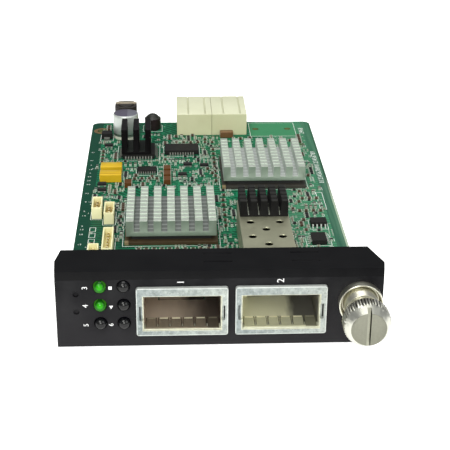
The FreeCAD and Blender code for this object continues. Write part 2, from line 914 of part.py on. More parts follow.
# Ferrite block with cut corners and a ring groove round its drum.
def makeInductor():
    body = newBody("power_inductor")
    half = "inductor_width / 2"
    trim = f"{half} - inductor_corner"
    plan = sketchOn(body, "XY_Plane")
    outline(plan, [
        (f"-({trim})", f"-{half}"),
        (trim, f"-{half}"),
        (half, f"-({trim})"),
        (half, trim),
        (trim, half),
        (f"-({trim})", half),
        (f"-{half}", trim),
        (f"-{half}", f"-({trim})"),
    ])
    pad(body, plan, "inductor_height")
    ring = sketchOn(body, "XY_Plane", "inductor_height")
    circle(ring, "0", "0", "inductor_ring_radius")
    circle(ring, "0", "0", "inductor_ring_radius - inductor_ring_width")
    pocket(body, ring, "inductor_ring_depth")
    place(body, "inductor_x", "inductor_y", boardTop)


def makeChoke():
    housing = rod("choke_x", "choke_y", boardTop, "choke_width / 2", "choke_height")
    crown = f"{boardTop} + choke_height + choke_dome - choke_dome_radius"
    subPart(fuse([housing, ball("choke_x", "choke_y", crown, "choke_dome_radius")]), "power_choke")


def makeDiode():
    moulding = block("diode_x", "diode_y", boardTop, "diode_width", "diode_depth", "diode_height")
    reach = "diode_depth / 2 + diode_tab_length / 2"
    tabs = []
    for side in ("-", "+"):
        y = f"diode_y {side} ({reach})"
        tabs.append(block("diode_x", y, boardTop, "diode_tab_width", "diode_tab_length", "diode_tab_height"))
    subPart(fuse([moulding] + tabs), "rectifier_diode")


# Moulded capacitor: a chamfered body with a terminal folded up at each end.
def makeMouldedCapacitor(label, kind, x, y):
    body = newBody(label)
    plan = sketchOn(body, "XY_Plane")
    rectangle(plan, "0", "0", f"{kind}_width", f"{kind}_depth")
    solid = pad(body, plan, f"{kind}_height")
    chamfer = body.newObject("PartDesign::Chamfer", "Chamfer")
    chamfer.Base = (solid, edgesWhere(solid, lambda point: near(point.z, f"{kind}_height")))
    bind(chamfer, Size="moulding_chamfer")
    ends = sketchOn(body, "XY_Plane")
    rectangle(ends, "0", "0", f"{kind}_width + 2 * terminal_sheet", "terminal_width")
    pad(body, ends, "terminal_height")
    place(body, x, y, boardTop)


def headerLength(kind):
    return f"(({kind}_pins - 1) * pin_pitch + 2 * header_margin)"


# Open-topped pin header with a key slot in its outer wall.
def makeHeader(label, kind):
    body = newBody(label)
    length = headerLength(kind)
    plan = sketchOn(body, "XY_Plane")
    rectangle(plan, "0", f"{length} / 2", "header_width", length)
    pad(body, plan, "header_height")
    hollow = sketchOn(body, "XY_Plane", "header_height")
    inner = f"{length} - 2 * header_wall"
    rectangle(hollow, "0", f"{length} / 2", "header_width - 2 * header_wall", inner)
    pocket(body, hollow, "header_height - header_floor")
    key = sketchOn(body, "XY_Plane", "header_height")
    rectangle(key, "(header_width - header_wall) / 2", f"{length} / 2", "header_wall", "header_key_length")
    pocket(body, key, "header_key_depth")
    holes = sketchOn(body, "XY_Plane")
    rectangle(holes, "0", "header_margin", "pin_size + 2 * pin_clearance", "pin_size + 2 * pin_clearance")
    hole = pocket(body, holes, "header_floor", alongNormal=True)
    repeat(body, hole, "Y_Axis", "pin_pitch", f"{kind}_pins")
    place(body, f"{kind}_x", f"{kind}_y", boardTop)


headerKinds = [f"header_{index}" for index in range(1, 5)]


def headerPins(growth, low, high):
    pins = []
    for kind in headerKinds:
        for index in range(int(number(f"{kind}_pins"))):
            y = f"{kind}_y + header_margin + {index} * pin_pitch"
            pins.append(block(f"{kind}_x", y, low, f"pin_size{growth}", f"pin_size{growth}", f"{high} - ({low})"))
    return pins


def lightPins(growth, low, high):
    pins = []
    middle = f"{lightLeft} + light_spacing / 2"
    start = "light_flange_gap + light_flange_thickness + light_block_depth / 2"
    for column in range(int(number("light_pin_columns"))):
        for row in range(int(number("light_pin_rows"))):
            x = f"{middle} + ({column} - (light_pin_columns - 1) / 2) * light_pin_pitch"
            y = f"{start} + ({row} - (light_pin_rows - 1) / 2) * light_pin_row_pitch"
            pins.append(block(x, y, low, f"pin_size{growth}", f"pin_size{growth}", f"{high} - ({low})"))
    return pins


# Board: tongued at the front to pass inside the plate, rounded at its rear corners, drilled and pierced.
def makeBoard():
    body = doc.addObject("PartDesign::Body", "board_blank")
    left = "board_x - board_width / 2"
    right = "board_x + board_width / 2"
    tongueLeft = "-bezel_width / 2 + side_wall + tongue_gap_left"
    tongueRight = "bezel_width / 2 - draw_right - side_wall - tongue_gap_right"
    shoulder = "board_front + tongue_length"
    back = "board_front + board_length"
    plan = sketchOn(body, "XY_Plane", "board_bottom")
    outline(plan, [
        (tongueLeft, "board_front"),
        (tongueRight, "board_front"),
        (tongueRight, shoulder),
        (right, shoulder),
        (right, back),
        (left, back),
        (left, shoulder),
        (tongueLeft, shoulder),
    ])
    blank = pad(body, plan, "board_thickness")
    rounded = body.newObject("PartDesign::Fillet", "Fillet")
    sides = (number(left), number(right))
    atCorner = lambda point: near(point.y, back) and min(abs(point.x - side) for side in sides) < 1e-4
    corners = []
    for name in edgesWhere(blank, atCorner):
        edge = blank.Shape.getElement(name)
        if abs(edge.Vertexes[0].Z - edge.Vertexes[-1].Z) > 1e-4:
            corners.append(name)
    rounded.Base = (blank, corners)
    bind(rounded, Radius="board_corner")
    drilled = sketchOn(body, "XY_Plane", "board_bottom")
    circle(drilled, "mount_hole_x", "mount_hole_y", "mount_hole_radius")
    circle(drilled, "guide_hole_x", "guide_hole_y", "guide_hole_radius")
    for side in ("-", "+"):
        circle(drilled, f"peg_hole_x {side} peg_hole_spacing / 2", "peg_hole_y", "peg_hole_radius")
    for x in screwPlaces:
        circle(drilled, x, "screw_y", "screw_radius + screw_clearance")
    pocketThrough(body, drilled)
    growth = " + 2 * pin_clearance"
    pierced = headerPins(growth, "board_bottom", boardTop) + lightPins(growth, "board_bottom", boardTop)
    subPart(cut(body, group(pierced)), "circuit_board")


def makePins():
    low = "board_bottom - pin_tail"
    subPart(group(headerPins("", low, f"{boardTop} + header_floor + pin_rise")), "header_pins")
    subPart(group(lightPins("", low, boardTop)), "light_pins")


# Board screws: slotted cheese heads on the board, their threads in the plate's posts.
def makeBoardScrews():
    screws = []
    for x in screwPlaces:
        head = rod(x, "screw_y", boardTop, "screw_head_radius", "screw_head_height")
        thread = rod(x, "screw_y", f"{boardTop} - screw_length", "screw_radius", "screw_length")
        slotZ = f"{boardTop} + screw_head_height - screw_slot_depth"
        slot = block(x, "screw_y", slotZ, "2 * screw_head_radius", "screw_slot", "screw_slot_depth")
        screws.append(cut(fuse([head, thread]), slot))
    subPart(group(screws), "board_screws")


def makeCeramics():
    places = []
    for index in range(int(number("ceramic_count"))):
        places.append(("ceramic_x", f"ceramic_y + {index} * ceramic_pitch"))
    places.append(("ceramic_side_x", "ceramic_side_y"))
    chips = [block(x, y, boardTop, "ceramic_width", "ceramic_depth", "ceramic_height") for x, y in places]
    subPart(group(chips), "ceramic_capacitors")


def makeTransistors():
    transistors = []
    for index in range(1, 7):
        x = f"transistor_{index}_x"
        y = f"transistor_{index}_y"
        moulding = block(x, y, boardTop, "transistor_width", "transistor_depth", "transistor_height")
        reach = "transistor_depth / 2 + transistor_foot / 2"
        pair = "transistor_width / 3"
        legs = [
            block(f"{x} - {pair}", f"{y} - ({reach})", boardTop, "transistor_foot", "transistor_foot",
                  "transistor_leg_height"),
            block(f"{x} + {pair}", f"{y} - ({reach})", boardTop, "transistor_foot", "transistor_foot",
                  "transistor_leg_height"),
            block(x, f"{y} + {reach}", boardTop, "transistor_foot", "transistor_foot",
                  "transistor_leg_height"),
        ]
        transistors.append(fuse([moulding] + legs))
    subPart(group(transistors), "small_transistors")


def makeSmallParts():
    chips = []
    for row in "abcdefghi":
        for index in range(int(number(f"row_{row}_count"))):
            x = f"row_{row}_x + {index} * row_{row}_step_x"
            y = f"row_{row}_y + {index} * row_{row}_step_y"
            chips.append(block(x, y, boardTop, "small_width", "small_depth", "small_height"))
    subPart(group(chips), "chip_components")


# Indicator lights: domes through the plate, flanged behind it, with their tails in one holder.
lightPlaces = [
    (f"{lightLeft} + {column} * light_spacing", f"light_bottom_z + {row} * light_pitch")
    for row in (2, 1, 0)
    for column in (0, 1)
]
backward = FreeCAD.Vector(0, 1, 0)


def makeLights():
    holderFront = "(light_flange_gap + light_flange_thickness)"
    holes = []
    for index, (x, z) in enumerate(lightPlaces, 1):
        length = f"wall + {holderFront} + light_tail"
        lens = [
            ball(x, "-wall", z, "light_radius"),
            rod(x, "-wall", z, "light_radius", length, backward),
            rod(x, "light_flange_gap", z, "light_radius + light_flange", "light_flange_thickness", backward),
        ]
        subPart(fuse(lens), f"status_light_{index}")
        holes.append(rod(x, holderFront, z, "light_radius + light_clearance", "light_tail", backward))
    holder = block(
        f"{lightLeft} + light_spacing / 2",
        f"{holderFront} + light_block_depth / 2",
        boardTop,
        "light_spacing + 2 * light_block_margin",
        "light_block_depth",
        "light_block_height",
    )
    subPart(cut(holder, group(holes)), "light_block")


# Captive screw: its ferrule in the plate, the turned screw, the ring behind it and the spring inside.
panelFront = "-wall"
ferruleFront = "(-wall - ferrule_proud)"
shaftEnd = "(-shaft_end)"
knobBack = "(-wall - knob_reach)"
ringFront = "(barrel_back + ring_gap)"


def makeFerrule():
    body = newBody("screw_ferrule")
    bore = "shaft_radius + shaft_fit"
    dishFloor = f"{ferruleFront} + dish_depth"
    lipFront = "barrel_back - barrel_lip"
    section = sketchOn(body, "XY_Plane")
    outline(section, [
        (bore, f"{ferruleFront} - sleeve_reach"),
        ("sleeve_radius", f"{ferruleFront} - sleeve_reach"),
        ("sleeve_radius", dishFloor),
        ("dish_floor_radius", dishFloor),
        ("ferrule_radius - dish_rim", ferruleFront),
        ("ferrule_radius", ferruleFront),
        ("ferrule_radius", panelFront),
        ("barrel_radius", panelFront),
        ("barrel_radius", "barrel_back"),
        ("shank_radius + shank_fit", "barrel_back"),
        ("shank_radius + shank_fit", lipFront),
        (bore, lipFront),
    ])
    revolve(body, section, "Y_Axis")
    place(body, "thumb_x", "0", "thumb_z")


def makeThumbscrew():
    body = newBody("thumbscrew")
    face = f"{knobBack} - knob_length"
    groove = "shank_radius - ring_groove"
    ringBack = f"{ringFront} + ring_thickness + 2 * ring_fit"
    section = sketchOn(body, "XY_Plane")
    outline(section, [
        ("0", face),
        ("knob_face_radius", face),
        ("knob_radius", f"{face} + knob_taper"),
        ("knob_radius", f"{knobBack} - knob_back_chamfer"),
        ("knob_radius - knob_back_chamfer", knobBack),
        ("collar_radius", knobBack),
        ("collar_radius", f"{knobBack} + collar_length"),
        ("shaft_radius", f"{knobBack} + collar_length"),
        ("shaft_radius", shaftEnd),
        ("shank_radius", shaftEnd),
        ("shank_radius", f"{ringFront} - ring_fit"),
        (groove, f"{ringFront} - ring_fit"),
        (groove, ringBack),
        ("shank_radius", ringBack),
        ("shank_radius", "shank_tip - shank_point"),
        ("shank_radius - shank_point", "shank_tip"),
        ("0", "shank_tip"),
    ])
    revolve(body, section, "Y_Axis")
    slot = sketchOn(body, "XZ_Plane", f"-({face})")
    rectangle(slot, "0", "0", "knob_slot", "2 * knob_radius")
    pocket(body, slot, "knob_slot_depth")
    tooth = sketchOn(body, "XZ_Plane", f"-({knobBack})")
    outline(tooth, [
        ("-knurl_width / 2", "knob_radius"),
        ("0", "knob_radius - knurl_depth"),
        ("knurl_width / 2", "knob_radius"),
        ("0", "knob_radius + knurl_depth"),
    ])
    gap = pocket(body, tooth, "knob_length", alongNormal=True)
    knurl = body.newObject("PartDesign::PolarPattern", "PolarPattern")
    knurl.Originals = [gap]
    knurl.Axis = (originFeature(body, "Y_Axis"), [""])
    knurl.Angle = 360
    bind(knurl, Occurrences="knurl_count")
    body.Tip = knurl
    place(body, "thumb_x", "0", "thumb_z")


def makeRing():
    outer = rod("thumb_x", ringFront, "thumb_z", "ring_radius", "ring_thickness", backward)
    inner = rod("thumb_x", ringFront, "thumb_z", "shank_radius - ring_groove + ring_fit", "ring_thickness", backward)
    subPart(cut(outer, inner), "retaining_ring")


# Coil spring round the shank, between the shaft's shoulder and the ferrule's lip.
def makeSpring():
    wire = number("spring_wire")
    low = number(f"{shaftEnd} + spring_gap") + wire / 2
    high = number("barrel_back - barrel_lip - spring_gap") - wire / 2
    radius = number("spring_radius")
    helix = Part.makeHelix((high - low) / number("spring_turns"), high - low, radius)
    half = wire / 2
    corners = [(-half, -half), (half, -half), (half, half), (-half, half), (-half, -half)]
    profile = Part.makePolygon([FreeCAD.Vector(radius + x, 0, z) for x, z in corners])
    item = doc.addObject("Part::Feature", "screw_spring")
    item.Shape = Part.Wire(helix.Edges).makePipeShell([profile], True, True)
    turn = FreeCAD.Rotation(FreeCAD.Vector(0, 0, 1), backward)
    item.Placement = FreeCAD.Placement(FreeCAD.Vector(number("thumb_x"), low, number("thumb_z")), turn)
    subPart(item, "screw_spring")


makeBezel()
makeBoard()
makePins()
makeBoardScrews()
for label, x, depth in (("a", portA, "shell_a_depth"), ("b", portB, "shell_b_depth")):
    makePortFrame(f"port_frame_{label}", x)
    shell = makePortShell(f"port_shell_{label}", x, depth)
    if label == "a":
        openShellFloor(shell)
    else:
        openShellBack(shell)
    makeFingerStrip(f"finger_strip_{label}", x)
makeModuleSocket("module_socket_a", portA, "socket_a_y")
makeModuleSocket("module_socket_b", "cage_x", "socket_b_y")
makeModuleCage()
cageSinkY = "cage_back - cage_sink_length / 2"
makeHeatSink("cage_heat_sink", "cage_sink", "cage_x", cageSinkY, f"{boardTop} + cage_height", True)
for side in ("front", "rear"):
    makeProcessor(f"processor_{side}", f"sink_{side}_x", f"sink_{side}_y")
    makeHeatSink(f"heat_sink_{side}", "sink", f"sink_{side}_x", f"sink_{side}_y", f"{boardTop} + {tall}", True)
allSides = ("front", "back", "left", "right")
makeLeadedChip("power_chip", "power", "power_width", "power_width", allSides)
powerTop = f"{boardTop} + chip_standoff + power_height"
makeHeatSink("power_heat_sink", "power_sink", "power_x + power_sink_shift", "power_y", powerTop, False)
for kind in ("memory", "logic", "driver"):
    makeLeadedChip(f"{kind}_chip", kind, f"{kind}_width", f"{kind}_depth", ("front", "back"))
makeLeadedChip("flash_chip", "flash", "flash_width", "flash_depth", ("left", "right"))
connectorLeft = "connector_seam_x - connector_gap / 2 - connector_width"
makeBackplaneConnector("backplane_connector_left", connectorLeft)
makeBackplaneConnector("backplane_connector_right", "connector_seam_x + connector_gap / 2")
makeCan()
makeInductor()
makeChoke()
makeDiode()
makeMouldedCapacitor("tantalum_capacitor_1", "tantalum", "tantalum_x", "tantalum_first_y")
makeMouldedCapacitor("tantalum_capacitor_2", "tantalum", "tantalum_x", "tantalum_first_y + tantalum_pitch")
makeMouldedCapacitor("tantalum_capacitor_3", "brown", "brown_x", "brown_y")
for kind in headerKinds:
    makeHeader(f"pin_{kind}", kind)
makeCeramics()
makeTransistors()
makeSmallParts()
makeLights()
makeFerrule()
makeThumbscrew()
makeRing()
makeSpring()

doc.recompute()
for item in doc.Objects:
    if "Invalid" in item.State or "Error" in item.State:
        raise RuntimeError(f"{item.Label} failed: {item.State}")
os.makedirs("parts", exist_ok=True)
for item in subParts:
    if item.Shape.isNull() or not item.Shape.isValid():
        raise RuntimeError(f"{item.Label} has no valid shape")
    item.Shape.exportStep(f"parts/{item.Label}.step")
    print(item.Label, len(item.Shape.Solids), round(item.Shape.Volume, 2))
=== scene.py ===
import bpy
import json
import math
import random
from functools import partialmethod
from mathutils import Matrix, Vector


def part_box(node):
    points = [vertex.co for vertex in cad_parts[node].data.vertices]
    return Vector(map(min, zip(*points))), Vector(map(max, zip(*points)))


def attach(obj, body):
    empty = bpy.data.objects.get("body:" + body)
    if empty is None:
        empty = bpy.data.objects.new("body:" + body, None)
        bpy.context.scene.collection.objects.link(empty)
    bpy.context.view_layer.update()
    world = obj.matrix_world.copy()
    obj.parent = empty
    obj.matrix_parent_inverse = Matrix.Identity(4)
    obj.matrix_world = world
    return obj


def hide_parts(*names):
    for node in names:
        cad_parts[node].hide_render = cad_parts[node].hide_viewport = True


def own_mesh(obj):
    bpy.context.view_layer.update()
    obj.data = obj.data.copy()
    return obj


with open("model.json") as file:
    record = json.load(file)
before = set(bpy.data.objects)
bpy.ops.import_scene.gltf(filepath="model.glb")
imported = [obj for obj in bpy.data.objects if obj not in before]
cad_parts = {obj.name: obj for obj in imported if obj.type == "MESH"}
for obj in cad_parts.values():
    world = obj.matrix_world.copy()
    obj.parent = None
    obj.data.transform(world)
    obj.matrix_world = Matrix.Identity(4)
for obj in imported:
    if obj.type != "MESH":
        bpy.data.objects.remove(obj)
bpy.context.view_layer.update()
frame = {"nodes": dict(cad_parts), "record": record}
nodes = frame["nodes"]
record = frame["record"]
bodyOf = {node: body for body, members in record["behaviour"]["bodies"].items() for node in members}
mountAt = {mount["name"]: mount["pos_m"] for mount in record["mounts"]}
mm = 0.001
near = 0.01 * mm  # closer than this counts as the same place
skin = 0.02 * mm  # added to a limit in a finish, so that a face on it falls inside
relief = 0.03 * mm  # height of fine grain
deepRelief = 0.04 * mm  # height of coarser grain
quarter = math.pi / 2
print("frame loaded:", len(nodes), "nodes")


def clearPick():
    if bpy.context.object and bpy.context.object.mode != "OBJECT":
        bpy.ops.object.mode_set(mode="OBJECT")
    bpy.ops.object.select_all(action="DESELECT")


def onlyPick(piece):
    clearPick()
    piece.select_set(True)
    bpy.context.view_layer.objects.active = piece


def openMesh(piece):  # into edit mode, all picked
    onlyPick(piece)
    bpy.ops.object.mode_set(mode="EDIT")
    bpy.ops.mesh.select_all(action="SELECT")


def closeMesh():
    bpy.ops.object.mode_set(mode="OBJECT")


pickModes = {
    "vertices": (True, False, False),
    "edges": (False, True, False),
    "polygons": (False, False, True),
}


def pickParts(piece, kind, test):  # into edit mode, with what passes the test picked
    onlyPick(piece)
    bpy.context.tool_settings.mesh_select_mode = pickModes[kind]
    bpy.ops.object.mode_set(mode="EDIT")
    bpy.ops.mesh.select_all(action="DESELECT")
    closeMesh()
    for part in getattr(piece.data, kind):
        part.select = test(part)
    bpy.ops.object.mode_set(mode="EDIT")


def thicken(thick):  # an open flat mesh becomes a closed plate
    bpy.ops.mesh.select_all(action="SELECT")
    bpy.ops.mesh.extrude_region_move(TRANSFORM_OT_translate={"value": (0, 0, thick * mm)})
    bpy.ops.mesh.select_all(action="SELECT")
    bpy.ops.mesh.normals_make_consistent(inside=False)
    closeMesh()


def settle(piece, name):  # its place goes into its mesh
    onlyPick(piece)
    bpy.ops.object.transform_apply(location=True, rotation=True, scale=True)
    piece.name = name
    piece.data.name = name
    return piece


def applyBevel(piece, width):
    onlyPick(piece)
    edge = piece.modifiers.new("edge", "BEVEL")
    edge.width = width * mm
    edge.segments = 1
    edge.limit_method = "ANGLE"
    edge.angle_limit = math.radians(30)
    bpy.ops.object.modifier_apply(modifier="edge")


def dress(piece, *finishes):
    piece.data.materials.clear()
    for finish in finishes:
        piece.data.materials.append(finish.material)
    return piece


def hold(piece, body="card"):
    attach(piece, body)


def middleOf(low, high):
    return [(a + b) / 2 for a, b in zip(low, high)]


class Sock:  # a socket that Python maths can be written on
    def __init__(self, finish, output):
        self.finish = finish
        self.output = output

    def maths(self, operation, *others):
        return self.finish.node("ShaderNodeMath", {"operation": operation}, dict(enumerate((self, *others))))

    def back(self, operation, other):
        return self.finish.node("ShaderNodeMath", {"operation": operation}, {0: other, 1: self})

    __add__ = partialmethod(maths, "ADD")
    __radd__ = partialmethod(back, "ADD")
    __sub__ = partialmethod(maths, "SUBTRACT")
    __rsub__ = partialmethod(back, "SUBTRACT")
    __mul__ = partialmethod(maths, "MULTIPLY")
    __rmul__ = partialmethod(back, "MULTIPLY")
    __truediv__ = partialmethod(maths, "DIVIDE")
    __gt__ = partialmethod(maths, "GREATER_THAN")
    __lt__ = partialmethod(maths, "LESS_THAN")
    __abs__ = partialmethod(maths, "ABSOLUTE")
    least = partialmethod(maths, "MINIMUM")
    most = partialmethod(maths, "MAXIMUM")

    def held(self):
        return self.finish.node("ShaderNodeClamp", {}, {"Value": self})

    def between(self, low, high):  # 1 inside the band
        return (self > low) * (self < high)

    def share(self, start, end):  # 0 at the start, 1 at the end
        return (self - start) / (end - start)

    def fade(self, start, end):  # the same, held between them
        return self.share(start, end).held()


class Finish:
    def __init__(self, name, **values):
        self.material = bpy.data.materials.new(name)
        self.material.use_nodes = True
        self.tree = self.material.node_tree
        self.shader = self.tree.nodes["Principled BSDF"]
        self.coordinates = None
        self.set(**values)

    def node(self, kind, settings=None, values=None, output=0):  # makes every node
        made = self.tree.nodes.new(kind)
        for key, value in (settings or {}).items():
            setattr(made, key, value)
        for key, value in (values or {}).items():
            self.feed(made.inputs[key], value)
        if isinstance(output, tuple):
            return [Sock(self, made.outputs[key]) for key in output]
        return Sock(self, made.outputs[output])

    def feed(self, socket, value):
        if isinstance(value, Sock):
            self.tree.links.new(value.output, socket)
        elif socket.type == "RGBA" and len(value) == 3:
            socket.default_value = (*value, 1)
        else:
            socket.default_value = value

    def set(self, **values):
        for key, value in values.items():
            self.feed(self.shader.inputs[key.replace("_", " ")], value)

    def place(self):
        if not self.coordinates:
            self.coordinates = self.node("ShaderNodeTexCoord", output="Object")
        return self.coordinates

    def axes(self):
        return self.node("ShaderNodeSeparateXYZ", {}, {0: self.place()}, (0, 1, 2))

    def facing(self):  # the surface's own direction
        normal = self.node("ShaderNodeTexCoord", output="Normal")
        return self.node("ShaderNodeSeparateXYZ", {}, {0: normal}, (0, 1, 2))

    def stretched(self, x, y, z, turn=0.0):
        values = {"Vector": self.place(), "Scale": (x, y, z), "Rotation": (0, 0, turn)}
        return self.node("ShaderNodeMapping", {}, values)

    def noise(self, scale, detail=3.0, roughness=0.5, vector=None):
        values = {"Vector": vector or self.place(), "Scale": scale, "Detail": detail, "Roughness": roughness}
        return self.node("ShaderNodeTexNoise", {}, values, "Fac")

    def cells(self, scale, vector=None):
        values = {"Vector": vector or self.place(), "Scale": scale}
        return self.node("ShaderNodeTexVoronoi", {"feature": "F1"}, values, "Distance")

    def bricks(self, turn, offset, every, scale, mortar, width, row):
        values = {
            "Vector": self.stretched(1, 1, 0, turn), "Scale": scale, "Mortar Size": mortar,
            "Mortar Smooth": 0.1, "Brick Width": width, "Row Height": row,
        }
        return self.node("ShaderNodeTexBrick", {"offset": offset, "offset_frequency": every}, values, "Fac")

    def blend(self, first, second, mask):
        return self.node("ShaderNodeMix", {"data_type": "RGBA"}, {0: mask, 6: first, 7: second}, 2)

    def layers(self, colour, *tints):  # each tint lies over those before it, where its mask says
        for tint, mask in tints:
            colour = self.blend(colour, tint, mask)
        return colour

    def within(self, middle, half):  # 1 inside a rectangle that is seen from above
        x, y = self.axes()[:2]
        return (abs(x - middle[0]) < half[0]) * (abs(y - middle[1]) < half[1])

    def away(self, middle):  # squared distance from an axis that runs from front to rear
        x, z = self.axes()[::2]
        return (x - middle[0]) * (x - middle[0]) + (z - middle[2]) * (z - middle[2])

    def done(self, colour, rough, height, strength, distance=relief):
        values = {"Height": height, "Strength": strength, "Distance": distance}
        self.set(Base_Color=colour, Roughness=rough, Normal=self.node("ShaderNodeBump", {}, values))
        return self


# camera and light
shot = {
    "place": (-12.488, -274.755, 158.018),  # mm
    "pitch": 24.36634,
    "yaw": 2.84066,
    "roll": -0.49137,
    "lens": 96.497,
    "floorDrop": 0.15,  # mm
}


def addCamera():
    pitch, yaw, roll = (math.radians(shot[key]) for key in ("pitch", "yaw", "roll"))
    forward = Vector((math.sin(yaw) * math.cos(pitch), math.cos(yaw) * math.cos(pitch), -math.sin(pitch)))
    right = Vector((math.cos(yaw), -math.sin(yaw), 0))
    down = forward.cross(right)
    across = math.cos(roll) * right + math.sin(roll) * down
    lower = -math.sin(roll) * right + math.cos(roll) * down
    data = bpy.data.cameras.new("camera")
    data.lens = shot["lens"]
    data.sensor_width = 36
    data.clip_start = 0.01
    camera = bpy.data.objects.new("camera", data)
    turn = Matrix((across, -lower, -forward)).transposed().to_4x4()
    camera.matrix_world = Matrix.Translation(Vector(shot["place"]) * mm) @ turn
    bpy.context.collection.objects.link(camera)
    bpy.context.scene.camera = camera


lamps = {  # place m, aim m, size m, power W, colour
    "key": ((-0.25, -0.45, 0.75), (0, 0.06, 0), 0.5, 4.8, (1.0, 1.0, 0.96)),
    "fill": ((0.55, -0.35, 0.45), (0, 0.05, 0), 0.5, 1.8, (0.98, 1.0, 0.98)),
    "top": ((0.0, 0.25, 0.8), (0, 0.08, 0), 0.6, 3.0, (1.0, 1.0, 0.97)),
    "front": ((-0.05, -0.62, 0.32), (0, 0, 0.01), 0.3, 2.4, (1.0, 1.0, 0.96)),
}
studio = {"colour": (0.95, 0.97, 1, 1), "strength": 0.34}


def addLight():
    for name, (place, aim, size, power, colour) in lamps.items():
        data = bpy.data.lights.new(name, "AREA")
        data.size = size
        data.energy = power
        data.color = colour
        lamp = bpy.data.objects.new(name, data)
        lamp.location = place
        lamp.rotation_euler = (Vector(aim) - Vector(place)).to_track_quat("-Z", "Y").to_euler()
        bpy.context.collection.objects.link(lamp)
    world = bpy.data.worlds.new("studio")
    world.use_nodes = True
    bpy.context.scene.world = world
    tree = world.node_tree
    sky = tree.nodes["Background"]
    sky.inputs["Color"].default_value = studio["colour"]
    sky.inputs["Strength"].default_value = studio["strength"]
    seen = tree.nodes.new("ShaderNodeBackground")  # plain white behind the object
    seen.inputs["Color"].default_value = (1, 1, 1, 1)
    path = tree.nodes.new("ShaderNodeLightPath")
    pick = tree.nodes.new("ShaderNodeMixShader")
    tree.links.new(path.outputs["Is Camera Ray"], pick.inputs[0])
    tree.links.new(sky.outputs[0], pick.inputs[1])
    tree.links.new(seen.outputs[0], pick.inputs[2])
    tree.links.new(pick.outputs[0], tree.nodes["World Output"].inputs[0])
    bpy.context.scene.view_settings.view_transform = "Standard"


def addFloor():
    clearPick()
    bpy.ops.mesh.primitive_plane_add(size=6, location=(0, 0, -shot["floorDrop"] * mm))
    floor = settle(bpy.context.object, "floor")
    pale = Finish("paleFloor", Roughness=0.9, Emission_Color=(1, 1, 1), Emission_Strength=0.55)
    pale.set(Base_Color=pale.blend((0.9, 0.9, 0.9), (0.93, 0.93, 0.93), pale.noise(3.0)))
    dress(floor, pale)


addCamera()
addLight()
addFloor()
print("camera, light and floor set")


# finishes
def blackPaintFinish():  # painted shade makes it blackest on top, and a painted reflection of the floor makes it a little paler low down in front
    paint = Finish("blackPaint", Specular_IOR_Level=0.06)
    z = paint.axes()[2]
    up = paint.facing()[2]
    mottle = paint.noise(140, 4)
    grain = paint.noise(2600, 2)
    # low down on the upright faces, where the painted reflection of the floor goes
    low = z.fade(0.019, 0) * (up < 0.3)
    plain = paint.blend((0.004, 0.004, 0.005), (0.018, 0.018, 0.019), mottle.fade(0.3, 0.8))
    colour = paint.layers(
        plain,
        # painted shade on the faces that look up
        ((0.0015, 0.0015, 0.002), 0.8 * (up > 0.3)),
        # painted reflection of the floor, low down in front
        ((0.022, 0.021, 0.023), low * 0.8),
    )
    return paint.done(colour, 0.36 + 0.12 * mottle + 0.06 * grain, grain, 0.12, 2 * relief)


def metalFinish(name, dark, light, rough, spread=0.12, grainScale=900, metallic=1.0, bump=0.1):
    metal = Finish(name, Metallic=metallic, Specular_IOR_Level=0.15)
    grain = metal.noise(grainScale, 3, 0.6)
    cloud = metal.noise(160, 3)
    colour = metal.blend(dark, light, cloud * 0.6 + grain * 0.4)
    return metal.done(colour, rough + spread * (grain - 0.5) + 0.1 * (cloud - 0.5), grain, bump, deepRelief)


def plasticFinish(name, dark, light, rough, top=None):
    plastic = Finish(name, Specular_IOR_Level=0.15)
    grain = plastic.noise(1800, 2)
    cloud = plastic.noise(120, 3)
    colour = plastic.blend(dark, light, cloud)
    if top:  # a second, paler pair of colours where it faces up: painted light on the upper faces
        colour = plastic.blend(colour, plastic.blend(*top, cloud), plastic.facing()[2] > 0.5)
    return plastic.done(colour, rough + 0.12 * (grain - 0.5) + 0.08 * (cloud - 0.5), grain, 0.08)


emptyPlace = (17.5, 144.0, 34.5, 158.6)  # mm, bare ground of a connector that isn't fitted, at the rear right
boardZones = {  # m: where a zone starts, and where it is full
    "strip": 0.0372,  # plain guide strips, outwards from the middle
    "rim": 0.0400,
    "rearPaintedSheen": (0.09, 0.16),
    "rightPaintedSheen": (-0.01, 0.03),
    "pale": (0.020, 0.026),
    "shadowLeft": (-0.022, -0.027),
    "shadowFront": (0.088, 0.078),
    "toneWithPaintedLight": (0.105, 0.085),
}


